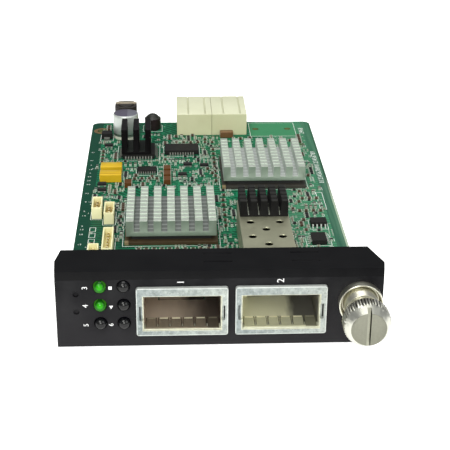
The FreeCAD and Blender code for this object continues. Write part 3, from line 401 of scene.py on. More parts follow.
def boardFinish():
    mask = Finish("greenMask", Coat_Roughness=0.25, Specular_IOR_Level=0.06)
    x, y = mask.axes()[:2]
    over = mask.facing()[2]
    flat = abs(over) > 0.5
    top = over > 0.5
    slantTurn = 0.785
    pour = mask.cells(210, mask.stretched(1, 1, 0, slantTurn))  # copper areas under the mask
    tracks = mask.bricks(0, 0.37, 3, 95, 0.035, 0.9, 0.16)
    slant = mask.bricks(slantTurn, 0.61, 2, 120, 0.03, 1.3, 0.2)
    region = mask.noise(55, 2)
    cloud = mask.noise(320, 3)
    lines = (tracks * (region > 0.46) + slant * (region < 0.5)).held()
    edge = abs(x) > boardZones["strip"]
    lowX, lowY, highX, highY = (value * mm for value in emptyPlace)
    rear = top * x.between(lowX, highX) * y.between(lowY, highY)
    inner = (1 - edge) * (1 - rear)
    # painted sheen towards the rear right of the top
    paintedSheen = top * y.fade(*boardZones["rearPaintedSheen"]) * x.fade(*boardZones["rightPaintedSheen"])
    pale = top * x.fade(*boardZones["pale"]) * inner  # the right of the board is paler
    paintedShadow = top * x.fade(*boardZones["shadowLeft"]) * y.fade(*boardZones["shadowFront"])  # painted shadow by the headers
    streak = mask.noise(900, 2, 0.5, mask.stretched(1, 0.03, 0))
    strip = mask.blend((0.030, 0.110, 0.070), (0.095, 0.200, 0.135), ((streak - 0.35) * 3).held())
    toneWithPaintedLight = y.fade(*boardZones["toneWithPaintedLight"])  # painted highlight on the right rim, brightest towards the front
    rim = mask.blend((0.012, 0.040, 0.022), (0.42, 0.50, 0.38), toneWithPaintedLight)
    lit = mask.layers(
        mask.blend((0.000, 0.014, 0.007), (0.002, 0.066, 0.031), (pour * 160).held() * 0.5 + cloud * 0.5),
        ((0.016, 0.200, 0.092), lines * 0.85 * inner),
        ((0.100, 0.270, 0.160), pale * 0.45),
        ((0.003, 0.038, 0.024), paintedShadow * 0.6),
        ((0.005, 0.048, 0.028), edge * (x < 0) * 0.8),
        (strip, edge * (x > 0) * 0.75),
        (rim, top * (x > boardZones["rim"]) * 0.8),
        ((0.055, 0.250, 0.115), rear * 0.8 + 0.25 * paintedSheen * (1 - rear)),
    )
    core = mask.blend((0.16, 0.17, 0.07), (0.10, 0.13, 0.05), mask.noise(700, 2))
    mask.set(Coat_Weight=0.015 * flat)
    rough = 0.42 + 0.2 * (cloud - 0.5) + 0.2 * (1 - flat)
    return mask.done(mask.blend(core, lit, flat), rough, lines + 0.3 * cloud, 0.25)


def chipFinish(name, node, inset, tinned=(0.13, 0.14, 0.12)):  # black moulding, tinned leads outside it
    low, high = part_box(node)
    chip = Finish(name, Specular_IOR_Level=0.08)
    reach = [(b - a) / 2 - gap * mm + skin for a, b, gap in zip(low, high, inset)]
    lead = 1 - chip.within(middleOf(low, high), reach)
    grain = chip.noise(2400, 3)
    cloud = chip.noise(300, 2)
    mould = chip.blend((0.010, 0.010, 0.010), (0.022, 0.021, 0.020), 0.5 * grain + 0.5 * cloud)
    chip.set(Metallic=0.3 * lead)
    return chip.done(chip.blend(mould, tinned, lead), 0.55 - 0.12 * lead + 0.12 * (grain - 0.5), grain, 0.12)


packageShape = {"cap": 24.0, "mark": 1.2}  # mm, the lid's width and the pale corner mark


def packageFinish(name, node, dark, light):
    low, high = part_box(node)
    package = Finish(name, Specular_IOR_Level=0.2)
    x, y = package.axes()[:2]
    half = packageShape["cap"] / 2 * mm + skin
    inside = package.within(middleOf(low, high), (half, half))
    weave = package.noise(2000, 2)
    corner = (x < low[0] + packageShape["mark"] * mm) * (y < low[1] + packageShape["mark"] * mm)
    colour = package.layers(
        package.blend(dark, light, package.noise(250, 3)),
        ((0.22, 0.17, 0.09), corner),
        ((0.03, 0.03, 0.03), inside),
    )
    return package.done(colour, 0.5 + 0.2 * (weave - 0.5), weave, 0.1)


canShape = {"foot": 1.2, "groove": 2.1, "mark": 0.6, "top": 0.05}  # mm


def canFinish(name, node):
    low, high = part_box(node)
    can = Finish(name)
    x, z = can.axes()[::2]
    top = z > high[2] - canShape["top"] * mm
    grain = can.noise(700, 3, 0.5, can.stretched(1, 1, 12))
    mark = top * (x < middleOf(low, high)[0] + canShape["mark"] * mm)
    footTop = low[2] + canShape["foot"] * mm
    foot = z < footTop
    groove = z.between(footTop, low[2] + canShape["groove"] * mm)  # painted dark reflection of the green board, above the pale foot
    colour = can.layers(
        can.blend((0.42, 0.45, 0.42), (0.62, 0.66, 0.62), grain),
        ((0.20, 0.20, 0.24), top),
        ((0.10, 0.09, 0.13), mark),
        ((0.10, 0.15, 0.11), groove),
        ((0.70, 0.70, 0.58), foot),
    )
    can.set(Metallic=0.6 - 0.2 * mark - 0.5 * foot)
    return can.done(colour, 0.34 + 0.2 * (grain - 0.5) + 0.1 * top + 0.2 * foot, grain, 0.05)


lensShape = {"reach": 1.65, "coreRise": 0.45}  # mm, the core sits high in the dome
litLenses = (1, 3)


def lensFinish(name, node, lit):
    middle = middleOf(*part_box(node))
    lens = Finish(name, IOR=1.5, Specular_IOR_Level=0.2 if lit else 0.3)
    reach = (lensShape["reach"] * mm) ** 2
    cloud = lens.noise(900, 2)
    glow = (1 - lens.away(middle) / reach).held()
    if lit:
        middle[2] += lensShape["coreRise"] * mm
        fromCore = lens.away(middle) / reach
        core = ((1 - fromCore * 2.6).held() * (0.9 + 0.6 * cloud)).held()
        cup = fromCore.between(0.55, 0.90)  # the rim of the cup behind it
        light = lens.blend((0.002, 0.045, 0.0005), (0.045, 0.62, 0.002), core)
        lens.set(Base_Color=lens.blend((0.001, 0.025, 0.001), (0.006, 0.10, 0.002), glow))
        lens.set(Emission_Color=lens.blend(light, (0.05, 0.22, 0.012), cup * 0.8), Emission_Strength=0.62)
    else:
        lens.set(Base_Color=lens.blend((0.002, 0.002, 0.003), (0.007, 0.007, 0.007), glow * (0.6 + cloud)))
    lens.set(Roughness=0.05 + 0.05 * cloud)
    return lens


knobShape = {  # mm
    "face": 0.06, "taper": 2.62, "slotHalf": 0.52, "slotDepth": 1.6,
    "knurlShade": (0.08, 0.34),  # painted shade between the knurls, below the rim: where it starts and where it is full
    "knurl": 0.6,
}


def knobFinish(name, node):
    low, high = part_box(node)
    metal = Finish(name, Metallic=1.0)
    x, y, z = metal.axes()
    faceEnd = low[1] + knobShape["face"] * mm
    face = y < faceEnd
    brushed = metal.noise(1600, 3, 0.6, metal.stretched(1, 1, 0.05))
    cloud = metal.noise(400, 3)
    speck = metal.noise(2300, 3, 0.7)
    middle = middleOf(low, high)
    away = metal.away(middle).maths("SQRT")
    rim = (high[0] - low[0]) / 2
    behind = y > low[1] + knobShape["taper"] * mm
    knurlShade = away.fade(*(rim - drop * mm for drop in knobShape["knurlShade"]))  # painted shade between the knurls
    knurlShade = knurlShade * (away > rim - knobShape["knurl"] * mm) * behind
    # painted shade in the slot, darkest on its wall that faces left
    slot = abs(x - middle[0]) < knobShape["slotHalf"] * mm
    slot = slot * y.between(faceEnd, low[1] + knobShape["slotDepth"] * mm)
    side = (metal.facing()[0] < -0.5) * slot
    # the face: brushed grain and speckle, with painted shade darker towards the bottom
    shade = z.share(low[2], high[2])
    toneWithPaintedLight = metal.blend((0.14, 0.14, 0.105), (0.28, 0.28, 0.23), 0.25 * brushed + 0.45 * speck + 0.3 * shade)
    colour = metal.layers(
        metal.blend((0.60, 0.59, 0.50), (0.80, 0.79, 0.70), cloud),
        ((0.56, 0.56, 0.49), 1 - behind),
        ((0.085, 0.080, 0.066), knurlShade),
        ((0.30, 0.30, 0.24), slot),
        ((0.05, 0.05, 0.04), side),
        (toneWithPaintedLight, face),
    )
    rough = 0.32 + 0.14 * (cloud - 0.5) + 0.1 * face + 0.1 * (brushed - 0.5)
    return metal.done(colour, rough, brushed, 0.08, deepRelief)


def ringFinish(name, node):  # bright nickel, with painted shadow in the dish behind the rim
    low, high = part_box(node)
    ring = Finish(name, Metallic=1.0)
    away = ring.away(middleOf(low, high)).maths("SQRT") / ((high[0] - low[0]) / 2)
    cloud = ring.noise(160, 3)
    grain = ring.noise(700, 3, 0.6)
    front = ring.facing()[1] < -0.05
    # painted shadow under the rim, on the dish's slope
    slope = front * ((0.93 - away) * 20).held() * ((away - 0.74) * 14).held()
    # a painted dark band further in the dish
    groove = front * away.between(0.60, 0.65)
    colour = ring.layers(
        ring.blend((0.66, 0.65, 0.54), (0.86, 0.85, 0.74), cloud * 0.6 + grain * 0.4),
        ((0.34, 0.32, 0.25), slope * 0.75),
        ((0.10, 0.09, 0.07), groove * 0.8),
    )
    return ring.done(colour, 0.34 + 0.1 * (grain - 0.5) + 0.1 * (cloud - 0.5), grain, 0.06, deepRelief)


sinkShape = {"base": 1.5, "rows": 10, "cut": 0.8}  # mm, and a count


def sawnFinish(name, node, wall, floor, litCutFloor):  # plain extruded metal tinted green by a painted reflection of the board, with painted light on the upward tops
    low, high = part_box(node)
    sawn = Finish(name, Metallic=0.75, Specular_IOR_Level=0.15)
    y, z = sawn.axes()[1:]
    across, up = sawn.facing()[::2]
    tone = 0.5 * sawn.noise(900, 3, 0.6, sawn.stretched(1, 0.12, 1)) + 0.5 * sawn.noise(240, 3)
    cut = sinkShape["cut"] * mm
    pitch = (high[1] - low[1] + cut) / sinkShape["rows"]
    step = ((y - low[1]) / pitch).maths("FRACT")
    deep = (up > 0.5) * (z < low[2] + sinkShape["base"] * mm + 0.1 * mm)
    side = sawn.blend((0.25, 0.31, 0.25), (0.40, 0.47, 0.39), tone)
    # walls that face sideways take each sink's painted tone, paler on the rear sink
    side = sawn.blend(side, wall, 0.8 * (abs(across) > 0.5))
    top = sawn.blend((0.46, 0.51, 0.44), (0.64, 0.69, 0.62), tone)
    ground = sawn.blend(floor, litCutFloor, step > 1 - cut / pitch)  # painted shade on the floor between the pins, striped with paler painted light where the saw went across
    colour = sawn.blend(sawn.blend(side, top, up > 0.5), ground, deep * 0.9)
    return sawn.done(colour, 0.5 + 0.16 * (tone - 0.5), tone, 0.15, deepRelief)


mouthShape = {"width": 19.8, "height": 9.4, "lip": 0.32, "rim": 0.22}  # mm, opening, borders


def castFinish(name, node, middle):  # rough plating, with painted highlights along the opening and the rim
    low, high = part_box(node)
    cast = Finish(name, Metallic=0.5, Specular_IOR_Level=0.2)
    x, z = cast.axes()[::2]
    sideways = abs(x - middle[0]) - mouthShape["width"] / 2 * mm
    upright = abs(z - middle[2]) - mouthShape["height"] / 2 * mm
    lip = sideways.most(upright) < mouthShape["lip"] * mm
    rim = (x - low[0]).least(high[0] - x).least(z - low[2]).least(high[2] - z) < mouthShape["rim"] * mm
    across = x.share(low[0], high[0])
    blotch = cast.noise(650, 4, 0.7)
    grain = cast.noise(1700, 3, 0.7)
    pit = (1 - cast.cells(1300) * 2.2).held()
    tone = ((blotch - 0.36) * 3.2).held()
    left = cast.blend((0.17, 0.20, 0.20), (0.30, 0.335, 0.33), tone)
    right = cast.blend((0.26, 0.285, 0.27), (0.43, 0.465, 0.43), tone)
    colour = cast.layers(
        cast.blend(left, right, across),
        ((0.64, 0.69, 0.66), ((grain - 0.55) * 4).held() * 0.6),
        ((0.17, 0.18, 0.15), pit * 0.5),
        # painted highlights on the rim and along the opening
        ((0.62, 0.65, 0.62), rim * (0.5 + 0.5 * blotch)),
        ((0.66, 0.66, 0.52), lip * (0.4 + 0.8 * blotch).held()),
    )
    rough = 0.46 + 0.25 * (grain - 0.5) + 0.15 * pit
    return cast.done(colour, rough, grain + 0.5 * blotch - 0.4 * pit, 0.5, 0.07 * mm)


def shellFinish(name, node, dark, light, start, slope, shade):  # dull sheet, with painted shade to the right
    low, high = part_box(node)
    sheet = Finish(name, Metallic=0.25)
    x, y, z = sheet.axes()
    grain = sheet.noise(700, 3, 0.6, sheet.stretched(1, 0.15, 1))
    cloud = sheet.noise(130, 3)
    streak = sheet.noise(420, 2, 0.5, sheet.stretched(1, 0.2, 0.2))
    # painted shade, growing towards the right
    right = ((x.share(low[0], high[0]) - start) * slope + 0.23 * slope * (streak - 0.5)).held()
    base = sheet.blend(dark, light, 0.5 * cloud + 0.5 * grain)
    base = sheet.blend(base, shade, right * 0.9)
    wall = 0.2 * mm
    outside = (x < low[0] + wall) + (x > high[0] - wall) + (z < low[2] + wall)
    outside = (outside + (z > high[2] - wall) + (y > high[1] - wall)).held()
    plain = sheet.blend((0.40, 0.40, 0.34), (0.54, 0.54, 0.47), 0.5 * cloud + 0.5 * grain)
    rough = 0.42 + 0.15 * (grain - 0.5) + 0.1 * (cloud - 0.5)
    return sheet.done(sheet.blend(base, plain, outside), rough, grain, 0.08)


def socketFinish(name, node):  # brown moulding, with painted shade to the right
    low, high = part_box(node)
    socket = Finish(name, Specular_IOR_Level=0.15)
    x = socket.axes()[0]
    grain = socket.noise(1800, 2)
    cloud = socket.noise(120, 3)
    # painted shade, growing towards the right, as in the shell
    right = ((x.share(low[0], high[0]) - 0.45) * 4 + 0.6 * (cloud - 0.5)).held()
    brown = socket.blend((0.15, 0.12, 0.09), (0.24, 0.195, 0.15), cloud)
    colour = socket.blend(brown, (0.022, 0.017, 0.014), right)
    return socket.done(colour, 0.5 + 0.12 * (grain - 0.5), grain, 0.08)


tantalumShape = {"bar": (0.6, 1.0), "end": 0.16}  # mm


def tantalumFinish(name, node, dark, light, stripe):
    low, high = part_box(node)
    case = Finish(name, Specular_IOR_Level=0.2)
    x, y = case.axes()[:2]
    grain = case.noise(2200, 2)
    bar = y.between(*(low[1] + edge * mm for edge in tantalumShape["bar"]))
    ends = ((x < low[0] + tantalumShape["end"] * mm) + (x > high[0] - tantalumShape["end"] * mm)).held()
    colour = case.layers(
        case.blend(dark, light, case.noise(260, 3)),
        (stripe, bar * 0.8),
        ((0.7, 0.7, 0.66), ends),
    )
    case.set(Metallic=ends)
    return case.done(colour, 0.36 + 0.15 * (grain - 0.5), grain, 0.06)


headerShape = {"wall": 0.45, "slack": 0.03, "depths": (0.2, 2.4)}  # mm, painted shade in the well darkens it between the depths


def headerFinish(name, node, wellShade):  # pale outside, with painted shade browner down in the well
    low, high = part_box(node)
    shell = Finish(name, Specular_IOR_Level=0.15)
    z = shell.axes()[2]
    half = [(b - a) / 2 - headerShape["wall"] * mm + headerShape["slack"] * mm for a, b in zip(low, high)]
    inside = shell.within(middleOf(low, high), half)
    deep = z.fade(*(high[2] - depth * mm for depth in headerShape["depths"])) * inside
    grain = shell.noise(1900, 2)
    pale = shell.blend((0.72, 0.69, 0.38), (0.86, 0.83, 0.54), shell.noise(150, 3))
    return shell.done(shell.blend(pale, wellShade, deep * 0.8), 0.44 + 0.1 * (grain - 0.5), grain, 0.06)


def finFinish(name, node, base, dark, light, crestHighlight, floor):  # black fins with painted highlights on the up-facing crests, on a floor of its own colour
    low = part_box(node)[0]
    fins = Finish(name, Specular_IOR_Level=0.08, Metallic=0.2)
    z = fins.axes()[2]
    up = fins.facing()[2] > 0.5
    grain = fins.noise(1500, 3, 0.6)
    sawn = up * (z < low[2] + base * mm + 0.1 * mm)
    plain = fins.blend(dark, light, 0.5 * grain + 0.5 * fins.noise(200, 3))
    plain = fins.blend(plain, crestHighlight, up * (0.5 + 0.5 * grain))
    return fins.done(fins.blend(plain, floor, sawn), 0.5 + 0.2 * (grain - 0.5), grain, 0.1, deepRelief)


fingerShape = {"count": 6, "gap": 0.3, "root": 0.9, "tip": 0.6}  # a count, and mm


def fingerFinish(name, node, dark, light, first):  # painted highlights at the tips; painted shade in the gaps and from the last finger on
    low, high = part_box(node)
    spring = Finish(name, Metallic=0.5, Specular_IOR_Level=0.3)
    x, y = spring.axes()[:2]
    grain = spring.noise(900, 3)
    order = x.share(low[0], high[0] + fingerShape["gap"] * mm) * fingerShape["count"]
    step = order.maths("FRACT")
    # painted shade in the gaps between the fingers
    gap = ((step < 0.05) + (step > 0.86)).held() * (y > low[1] + fingerShape["root"] * mm)
    # painted highlights on the tips
    tip = (y > high[1] - fingerShape["tip"] * mm) * step.between(0.12, 0.80)
    # painted shade from the last finger on, where the tips also lose their painted highlight
    last = order > fingerShape["count"] - 1
    unlitTips = ((order < first) + last).held()
    base = spring.blend(dark, light, 0.5 * grain + 0.5 * spring.noise(260, 3))
    base = spring.blend(base, (0.03, 0.026, 0.02), (gap * 0.8).most(last * 0.6))
    colour = spring.blend(base, (0.95, 0.90, 0.66), tip * (1 - 0.8 * unlitTips))
    return spring.done(colour, 0.38 + 0.15 * (grain - 0.5), grain, 0.06)


def inductorFinish(name, node):  # dark ferrite with a pale band across its top
    low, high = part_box(node)
    core = Finish(name, Specular_IOR_Level=0.2)
    y, z = core.axes()[1:]
    grain = core.noise(1800, 2)
    cloud = core.noise(220, 3)
    along = y.share(low[1], high[1]) + 0.1 * (cloud - 0.5)
    band = ((along - 0.52) * 6).held() * ((0.95 - along) * 9).held() * (z > high[2] - 0.4 * mm)
    body = core.blend((0.012, 0.010, 0.009), (0.030, 0.025, 0.021), cloud)
    return core.done(core.blend(body, (0.36, 0.31, 0.23), band), 0.4 + 0.2 * (grain - 0.5), grain, 0.1)


windingShape = {"pitch": 0.55, "lid": 1.6}  # mm


def windingFinish(name, node):  # dark lacquered turns round the choke
    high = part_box(node)[1]
    turns = Finish(name, Specular_IOR_Level=0.3)
    z = turns.axes()[2]
    wave = (z * (2 * math.pi / (windingShape["pitch"] * mm))).maths("SINE") * 0.5 + 0.5
    cloud = turns.noise(420, 3)
    wound = turns.blend((0.008, 0.005, 0.006), (0.036, 0.018, 0.018), wave * cloud)
    colour = turns.blend(wound, (0.016, 0.017, 0.014), z > high[2] - windingShape["lid"] * mm)
    return turns.done(colour, 0.34 + 0.2 * (cloud - 0.5), wave, 0.4, 0.08 * mm)


def transistorFinish():  # black moulding on tinned legs
    case = Finish("transistorCase", Specular_IOR_Level=0.12)
    leg = case.axes()[2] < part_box("circuit_board")[1][2] + 0.31 * mm
    grain = case.noise(2400, 2)
    mould = case.blend((0.012, 0.012, 0.013), (0.026, 0.025, 0.025), grain)
    case.set(Metallic=leg)
    rough = 0.5 - 0.15 * leg + 0.12 * (grain - 0.5)
    return case.done(case.blend(mould, (0.5, 0.5, 0.46), leg), rough, grain, 0.08)


plainSteel = metalFinish("plainSteel", (0.50, 0.50, 0.50), (0.68, 0.68, 0.67), 0.3)
pinMetal = metalFinish("pinMetal", (0.58, 0.50, 0.30), (0.80, 0.72, 0.48), 0.28)
tin = metalFinish("tin", (0.30, 0.36, 0.30), (0.60, 0.68, 0.57), 0.36, 0.2, 1200, 0.6, 0.15)
copper = metalFinish("baredCopper", (0.22, 0.13, 0.05), (0.40, 0.25, 0.10), 0.38, 0.2, 900, 0.8, 0.15)
blackPlastic = plasticFinish("blackPlastic", (0.010, 0.010, 0.011), (0.022, 0.022, 0.024), 0.5)
# paler on its upper faces: painted light
ivory = plasticFinish("ivory", (0.50, 0.50, 0.30), (0.63, 0.63, 0.42), 0.46,
                      ((0.60, 0.61, 0.42), (0.74, 0.75, 0.56)))
tanCeramic = plasticFinish("tanCeramic", (0.060, 0.022, 0.006), (0.125, 0.050, 0.013), 0.42)
sandCeramic = plasticFinish("sandCeramic", (0.045, 0.028, 0.018), (0.10, 0.068, 0.046), 0.42)
greyCeramic = plasticFinish("greyCeramic", (0.15, 0.14, 0.10), (0.28, 0.27, 0.20), 0.45)
resistorBlack = plasticFinish("resistorBlack", (0.012, 0.012, 0.014), (0.030, 0.028, 0.028), 0.4)
whiteInk = plasticFinish("whiteInk", (0.62, 0.66, 0.62), (0.82, 0.85, 0.82), 0.6)
plateInk = plasticFinish("plateInk", (0.66, 0.66, 0.66), (0.84, 0.84, 0.84), 0.55)
amber = tantalumFinish("amberCase", "tantalum_capacitor_1",
                       (0.50, 0.31, 0.010), (0.62, 0.41, 0.018), (0.34, 0.17, 0.008))
brightLeads = (0.40, 0.43, 0.39)

sharedDress = {
    "bezel": blackPaintFinish(),
    "circuit_board": boardFinish(),
    "module_cage": metalFinish("cageSteel", (0.36, 0.36, 0.25), (0.52, 0.52, 0.38),
                               0.42, 0.14, 600, 0.85, 0.06),
    "small_transistors": transistorFinish(),
    "header_pins": pinMetal,
    "light_pins": pinMetal,
    "board_screws": plainSteel,
    "retaining_ring": plainSteel,
    "screw_spring": plainSteel,
    "module_socket_b": blackPlastic,
    "light_block": blackPlastic,
    "backplane_connector_left": ivory,
    "backplane_connector_right": ivory,
    "tantalum_capacitor_1": amber,
    "tantalum_capacitor_2": amber,
    "ceramic_capacitors": tanCeramic,
    "chip_components": tanCeramic,
}
ownDress = {  # node: how its own finish is made, the finish's name and its values
    "port_frame_a": (castFinish, "castLeft", mountAt["module_port_a"]),
    "port_frame_b": (castFinish, "castRight", mountAt["module_port_b"]),
    "port_shell_a": (shellFinish, "shellDark", (0.54, 0.45, 0.36), (0.74, 0.63, 0.51),
                     0.43, 2.4, (0.062, 0.045, 0.038)),
    "port_shell_b": (shellFinish, "shellPale", (0.84, 0.83, 0.62), (0.94, 0.92, 0.73),
                     0.58, 7.0, (0.075, 0.070, 0.074)),
    "finger_strip_a": (fingerFinish, "fingersDark", (0.15, 0.125, 0.09), (0.26, 0.22, 0.165), 1),
    "finger_strip_b": (fingerFinish, "fingersPale", (0.40, 0.40, 0.28), (0.54, 0.53, 0.38), 0),
    "module_socket_a": (socketFinish, "brownSocket"),
    "cage_heat_sink": (finFinish, "cageFins", 0.6, (0.006, 0.006, 0.006), (0.013, 0.013, 0.013),
                       (0.024, 0.024, 0.022), (0.46, 0.49, 0.41)),
    "power_heat_sink": (finFinish, "powerFins", 1.0, (0.002, 0.002, 0.002), (0.006, 0.005, 0.006),
                        (0.007, 0.006, 0.007), (0.012, 0.015, 0.012)),
    # painted light and shade: wall, floor and cut colours per sink, the front sink's floor shaded darker, the
    # rear sink lit paler
    "heat_sink_front": (sawnFinish, "sawnFront", (0.36, 0.40, 0.36), (0.21, 0.22, 0.215), (0.42, 0.44, 0.43)),
    "heat_sink_rear": (sawnFinish, "sawnRear", (0.62, 0.66, 0.63), (0.60, 0.62, 0.61), (0.74, 0.77, 0.76)),
    "processor_front": (packageFinish, "frontPackage", (0.040, 0.028, 0.014), (0.075, 0.050, 0.024)),
    "processor_rear": (packageFinish, "rearPackage", (0.028, 0.026, 0.022), (0.05, 0.046, 0.038)),
    "power_chip": (chipFinish, "powerChip", (1.2, 1.2)),
    "memory_chip": (chipFinish, "memoryChip", (0, 1.2)),
    "logic_chip": (chipFinish, "logicChip", (0, 1.2)),
    "driver_chip": (chipFinish, "driverChip", (0, 1.2), brightLeads),
    "flash_chip": (chipFinish, "flashChip", (1.2, 0), brightLeads),
    "rectifier_diode": (chipFinish, "diodeCase", (0, 1.1)),
    "electrolytic_capacitor": (canFinish, "brightCan"),
    "power_inductor": (inductorFinish, "ferrite"),
    "power_choke": (windingFinish, "lacqueredWinding"),
    "tantalum_capacitor_3": (tantalumFinish, "brownTantalum", (0.10, 0.05, 0.02), (0.17, 0.09, 0.04),
                             (0.3, 0.2, 0.1)),
    "screw_ferrule": (ringFinish, "nickelRing"),
    "thumbscrew": (knobFinish, "nickel"),
}
for index in range(1, 7):
    ownDress[f"status_light_{index}"] = (lensFinish, f"lens{index}", index in litLenses)
# painted shade in the wells, darker in headers 1 and 2
headerWellShades = ((0.50, 0.38, 0.14), (0.50, 0.38, 0.14), (0.70, 0.62, 0.30), (0.70, 0.62, 0.30))
for index, wellShade in enumerate(headerWellShades, 1):
    ownDress[f"pin_header_{index}"] = (headerFinish, f"headerShell{index}", wellShade)
for node, finish in sharedDress.items():
    dress(nodes[node], finish)
for node, (make, name, *values) in ownDress.items():
    dress(nodes[node], make(name, node, *values))
print("finishes on", len(sharedDress) + len(ownDress), "nodes")

# softened copies of the CAD pieces, so that their edges catch the light
edgeWidths = {  # node: rounding of its edges in mm, 0 where it is only shaded smooth
    "bezel": 0.22, "circuit_board": 0.12, "port_frame_a": 0.08, "port_frame_b": 0.08,
    "module_cage": 0.12, "cage_heat_sink": 0.1, "power_heat_sink": 0.12,
    "heat_sink_front": 0.05, "heat_sink_rear": 0.05, "processor_front": 0.08, "processor_rear": 0.08,
    "power_chip": 0.04, "memory_chip": 0.04, "logic_chip": 0.04, "driver_chip": 0.04, "flash_chip": 0.04,
    "rectifier_diode": 0.1, "small_transistors": 0.04,
    "backplane_connector_left": 0.08, "backplane_connector_right": 0.08,
    "electrolytic_capacitor": 0.15, "power_inductor": 0.15, "power_choke": 0.3,
    **{f"tantalum_capacitor_{index}": 0.06 for index in range(1, 4)},
    **{f"pin_header_{index}": 0.1 for index in range(1, 5)},
    "light_block": 0.15, "board_screws": 0.1, "screw_ferrule": 0.08, "thumbscrew": 0, "retaining_ring": 0.05,
    **{f"status_light_{index}": 0 for index in range(1, 7)},
    "header_pins": 0.05, "light_pins": 0.05, "finger_strip_a": 0.03, "finger_strip_b": 0.03,
}
cornerRadii = {"port_frame_a": 0.6, "port_frame_b": 0.6}  # mm
pinFeet = {"cage_heat_sink": {"base": 0.6, "widen": 0.4}}  # mm, pins that are wider at the foot


def copyOf(node, name):  # a CAD piece's mesh as a new, merged object
    mesh = nodes[node].data.copy()
    mesh.transform(nodes[node].matrix_world)
    mesh.name = name
    piece = bpy.data.objects.new(name, mesh)
    bpy.context.collection.objects.link(piece)
    openMesh(piece)
    bpy.ops.mesh.remove_doubles(threshold=0.002 * mm)
    closeMesh()
    return piece


def meshBox(piece):  # low and high corner of a mesh
    corners = [vertex.co for vertex in piece.data.vertices]
    low = [min(corner[axis] for corner in corners) for axis in range(3)]
    high = [max(corner[axis] for corner in corners) for axis in range(3)]
    return low, high


def widenFeet(piece, base, widen):  # the pins' sides lean, so the gaps between them narrow downwards
    foot = meshBox(piece)[0][2] + base
    sides = sorted({round(vertex.co.x, 6) for vertex in piece.data.vertices})
    for index, side in enumerate(sides[1:-1]):
        def atFoot(vertex):
            return abs(vertex.co.x - side) < near and abs(vertex.co.z - foot) < near
        pickParts(piece, "vertices", atFoot)
        bpy.ops.transform.translate(value=(-widen if index % 2 else widen, 0, 0))
        closeMesh()


def roundCorners(piece, radius):  # the four edges that run back from the corners of the front face
    low, high = meshBox(piece)

    def atCorner(edge):
        ends = [piece.data.vertices[index].co for index in edge.vertices]
        for axis in (0, 2):
            if any(low[axis] + near <= end[axis] <= high[axis] - near for end in ends):
                return False
        return abs(ends[0].y - ends[1].y) > radius

    pickParts(piece, "edges", atCorner)
    bpy.ops.mesh.bevel(offset=radius, segments=3, affect="EDGES")
    closeMesh()


def soften(node, width):
    piece = copyOf(node, node + "_soft")
    openMesh(piece)
    bpy.ops.mesh.dissolve_limited(angle_limit=math.radians(0.5))
    closeMesh()
    if node in cornerRadii:
        roundCorners(piece, cornerRadii[node] * mm)
    if node in pinFeet:
        widenFeet(piece, pinFeet[node]["base"] * mm, pinFeet[node]["widen"] * mm)
    if width:
        applyBevel(piece, width)
    onlyPick(piece)
    bpy.ops.object.shade_smooth_by_angle(angle=math.radians(28))
    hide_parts(node)
    hold(piece, bodyOf[node])
    return piece


for node, width in edgeWidths.items():
    soften(node, width)
print("edges softened on", len(edgeWidths), "pieces")

# the spring gets a softened copy with a mesh of its own
spring = soften("screw_spring", 0)
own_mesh(spring)

# board dressing: small parts, bare pads, plated holes and white ink
boardLow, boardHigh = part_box("circuit_board")
boardTop = boardHigh[2]
dice = random.Random(11)


def solidBoxes(node):  # low and high corner of each separate solid of a node
    openMesh(copyOf(node, "loose"))
    bpy.ops.mesh.separate(type="LOOSE")
    closeMesh()
    boxes = []
    for part in list(bpy.context.selected_objects):
        boxes.append(meshBox(part))
        bpy.data.objects.remove(part)
    return sorted(boxes)


manySolids = {
    name: solidBoxes(name)
    for name in ("chip_components", "ceramic_capacitors", "small_transistors", "board_screws")
}
notOnBoard = ("bezel", "circuit_board", "header_pins")
taken = []
for name in nodes:
    for low, high in manySolids.get(name, [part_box(name)]):
        if name not in notOnBoard and low[2] < boardTop + 0.0006 < high[2] + 0.0005:  # stands on the board
            taken.append((low[0], low[1], high[0], high[1]))

chipShapes = {  # length, width, height, tinned end in mm
    "largeCap": (1.7, 0.9, 0.7, 0.38),
    "smallCap": (1.05, 0.55, 0.5, 0.28),
    "resistor": (1.6, 0.8, 0.45, 0.3),
    "ceramicBlock": (2.7, 3.3, 1.8, 0.2),
    "barePads": (1.1, 0.6, 0, 0),
}
chipTrim = {"proud": 1.06, "edge": 0.05}  # the tinned ends stand a little proud; mm


def modelChip(name, body):
    length, width, height, cap = (value * mm for value in chipShapes[name])
    clearPick()
    bpy.ops.mesh.primitive_cube_add(size=1, location=(0, 0, height / 2))
    bpy.context.object.scale = (length, width, height)
    piece = settle(bpy.context.object, name)
    openMesh(piece)
    for side in (-1, 1):
        bpy.ops.mesh.select_all(action="SELECT")
        bpy.ops.mesh.bisect(plane_co=(side * (length / 2 - cap), 0, 0), plane_no=(1, 0, 0))
    pickParts(piece, "polygons", lambda face: abs(face.center.x) > length / 2 - cap)
    bpy.ops.transform.resize(value=(1, chipTrim["proud"], 1))
    closeMesh()
    dress(piece, body, tin)
    for face in piece.data.polygons:
        face.material_index = int(abs(face.center.x) > length / 2 - cap)
    applyBevel(piece, chipTrim["edge"])
    return piece


def joined(name, items):  # copies of models, each with its own mesh, joined into one piece
    clearPick()
    for model, matrix in items:
        mesh = model.data.copy()
        mesh.transform(matrix)
        piece = bpy.data.objects.new(name, mesh)
        bpy.context.collection.objects.link(piece)
        piece.select_set(True)
    bpy.context.view_layer.objects.active = piece
    if len(items) > 1:
        bpy.ops.object.join()
    piece.name = name
    piece.data.name = name
    return piece


def spread(name, model, places):
    piece = joined(name, [(model, matrix) for matrix in places])
    bpy.data.objects.remove(model)
    return piece


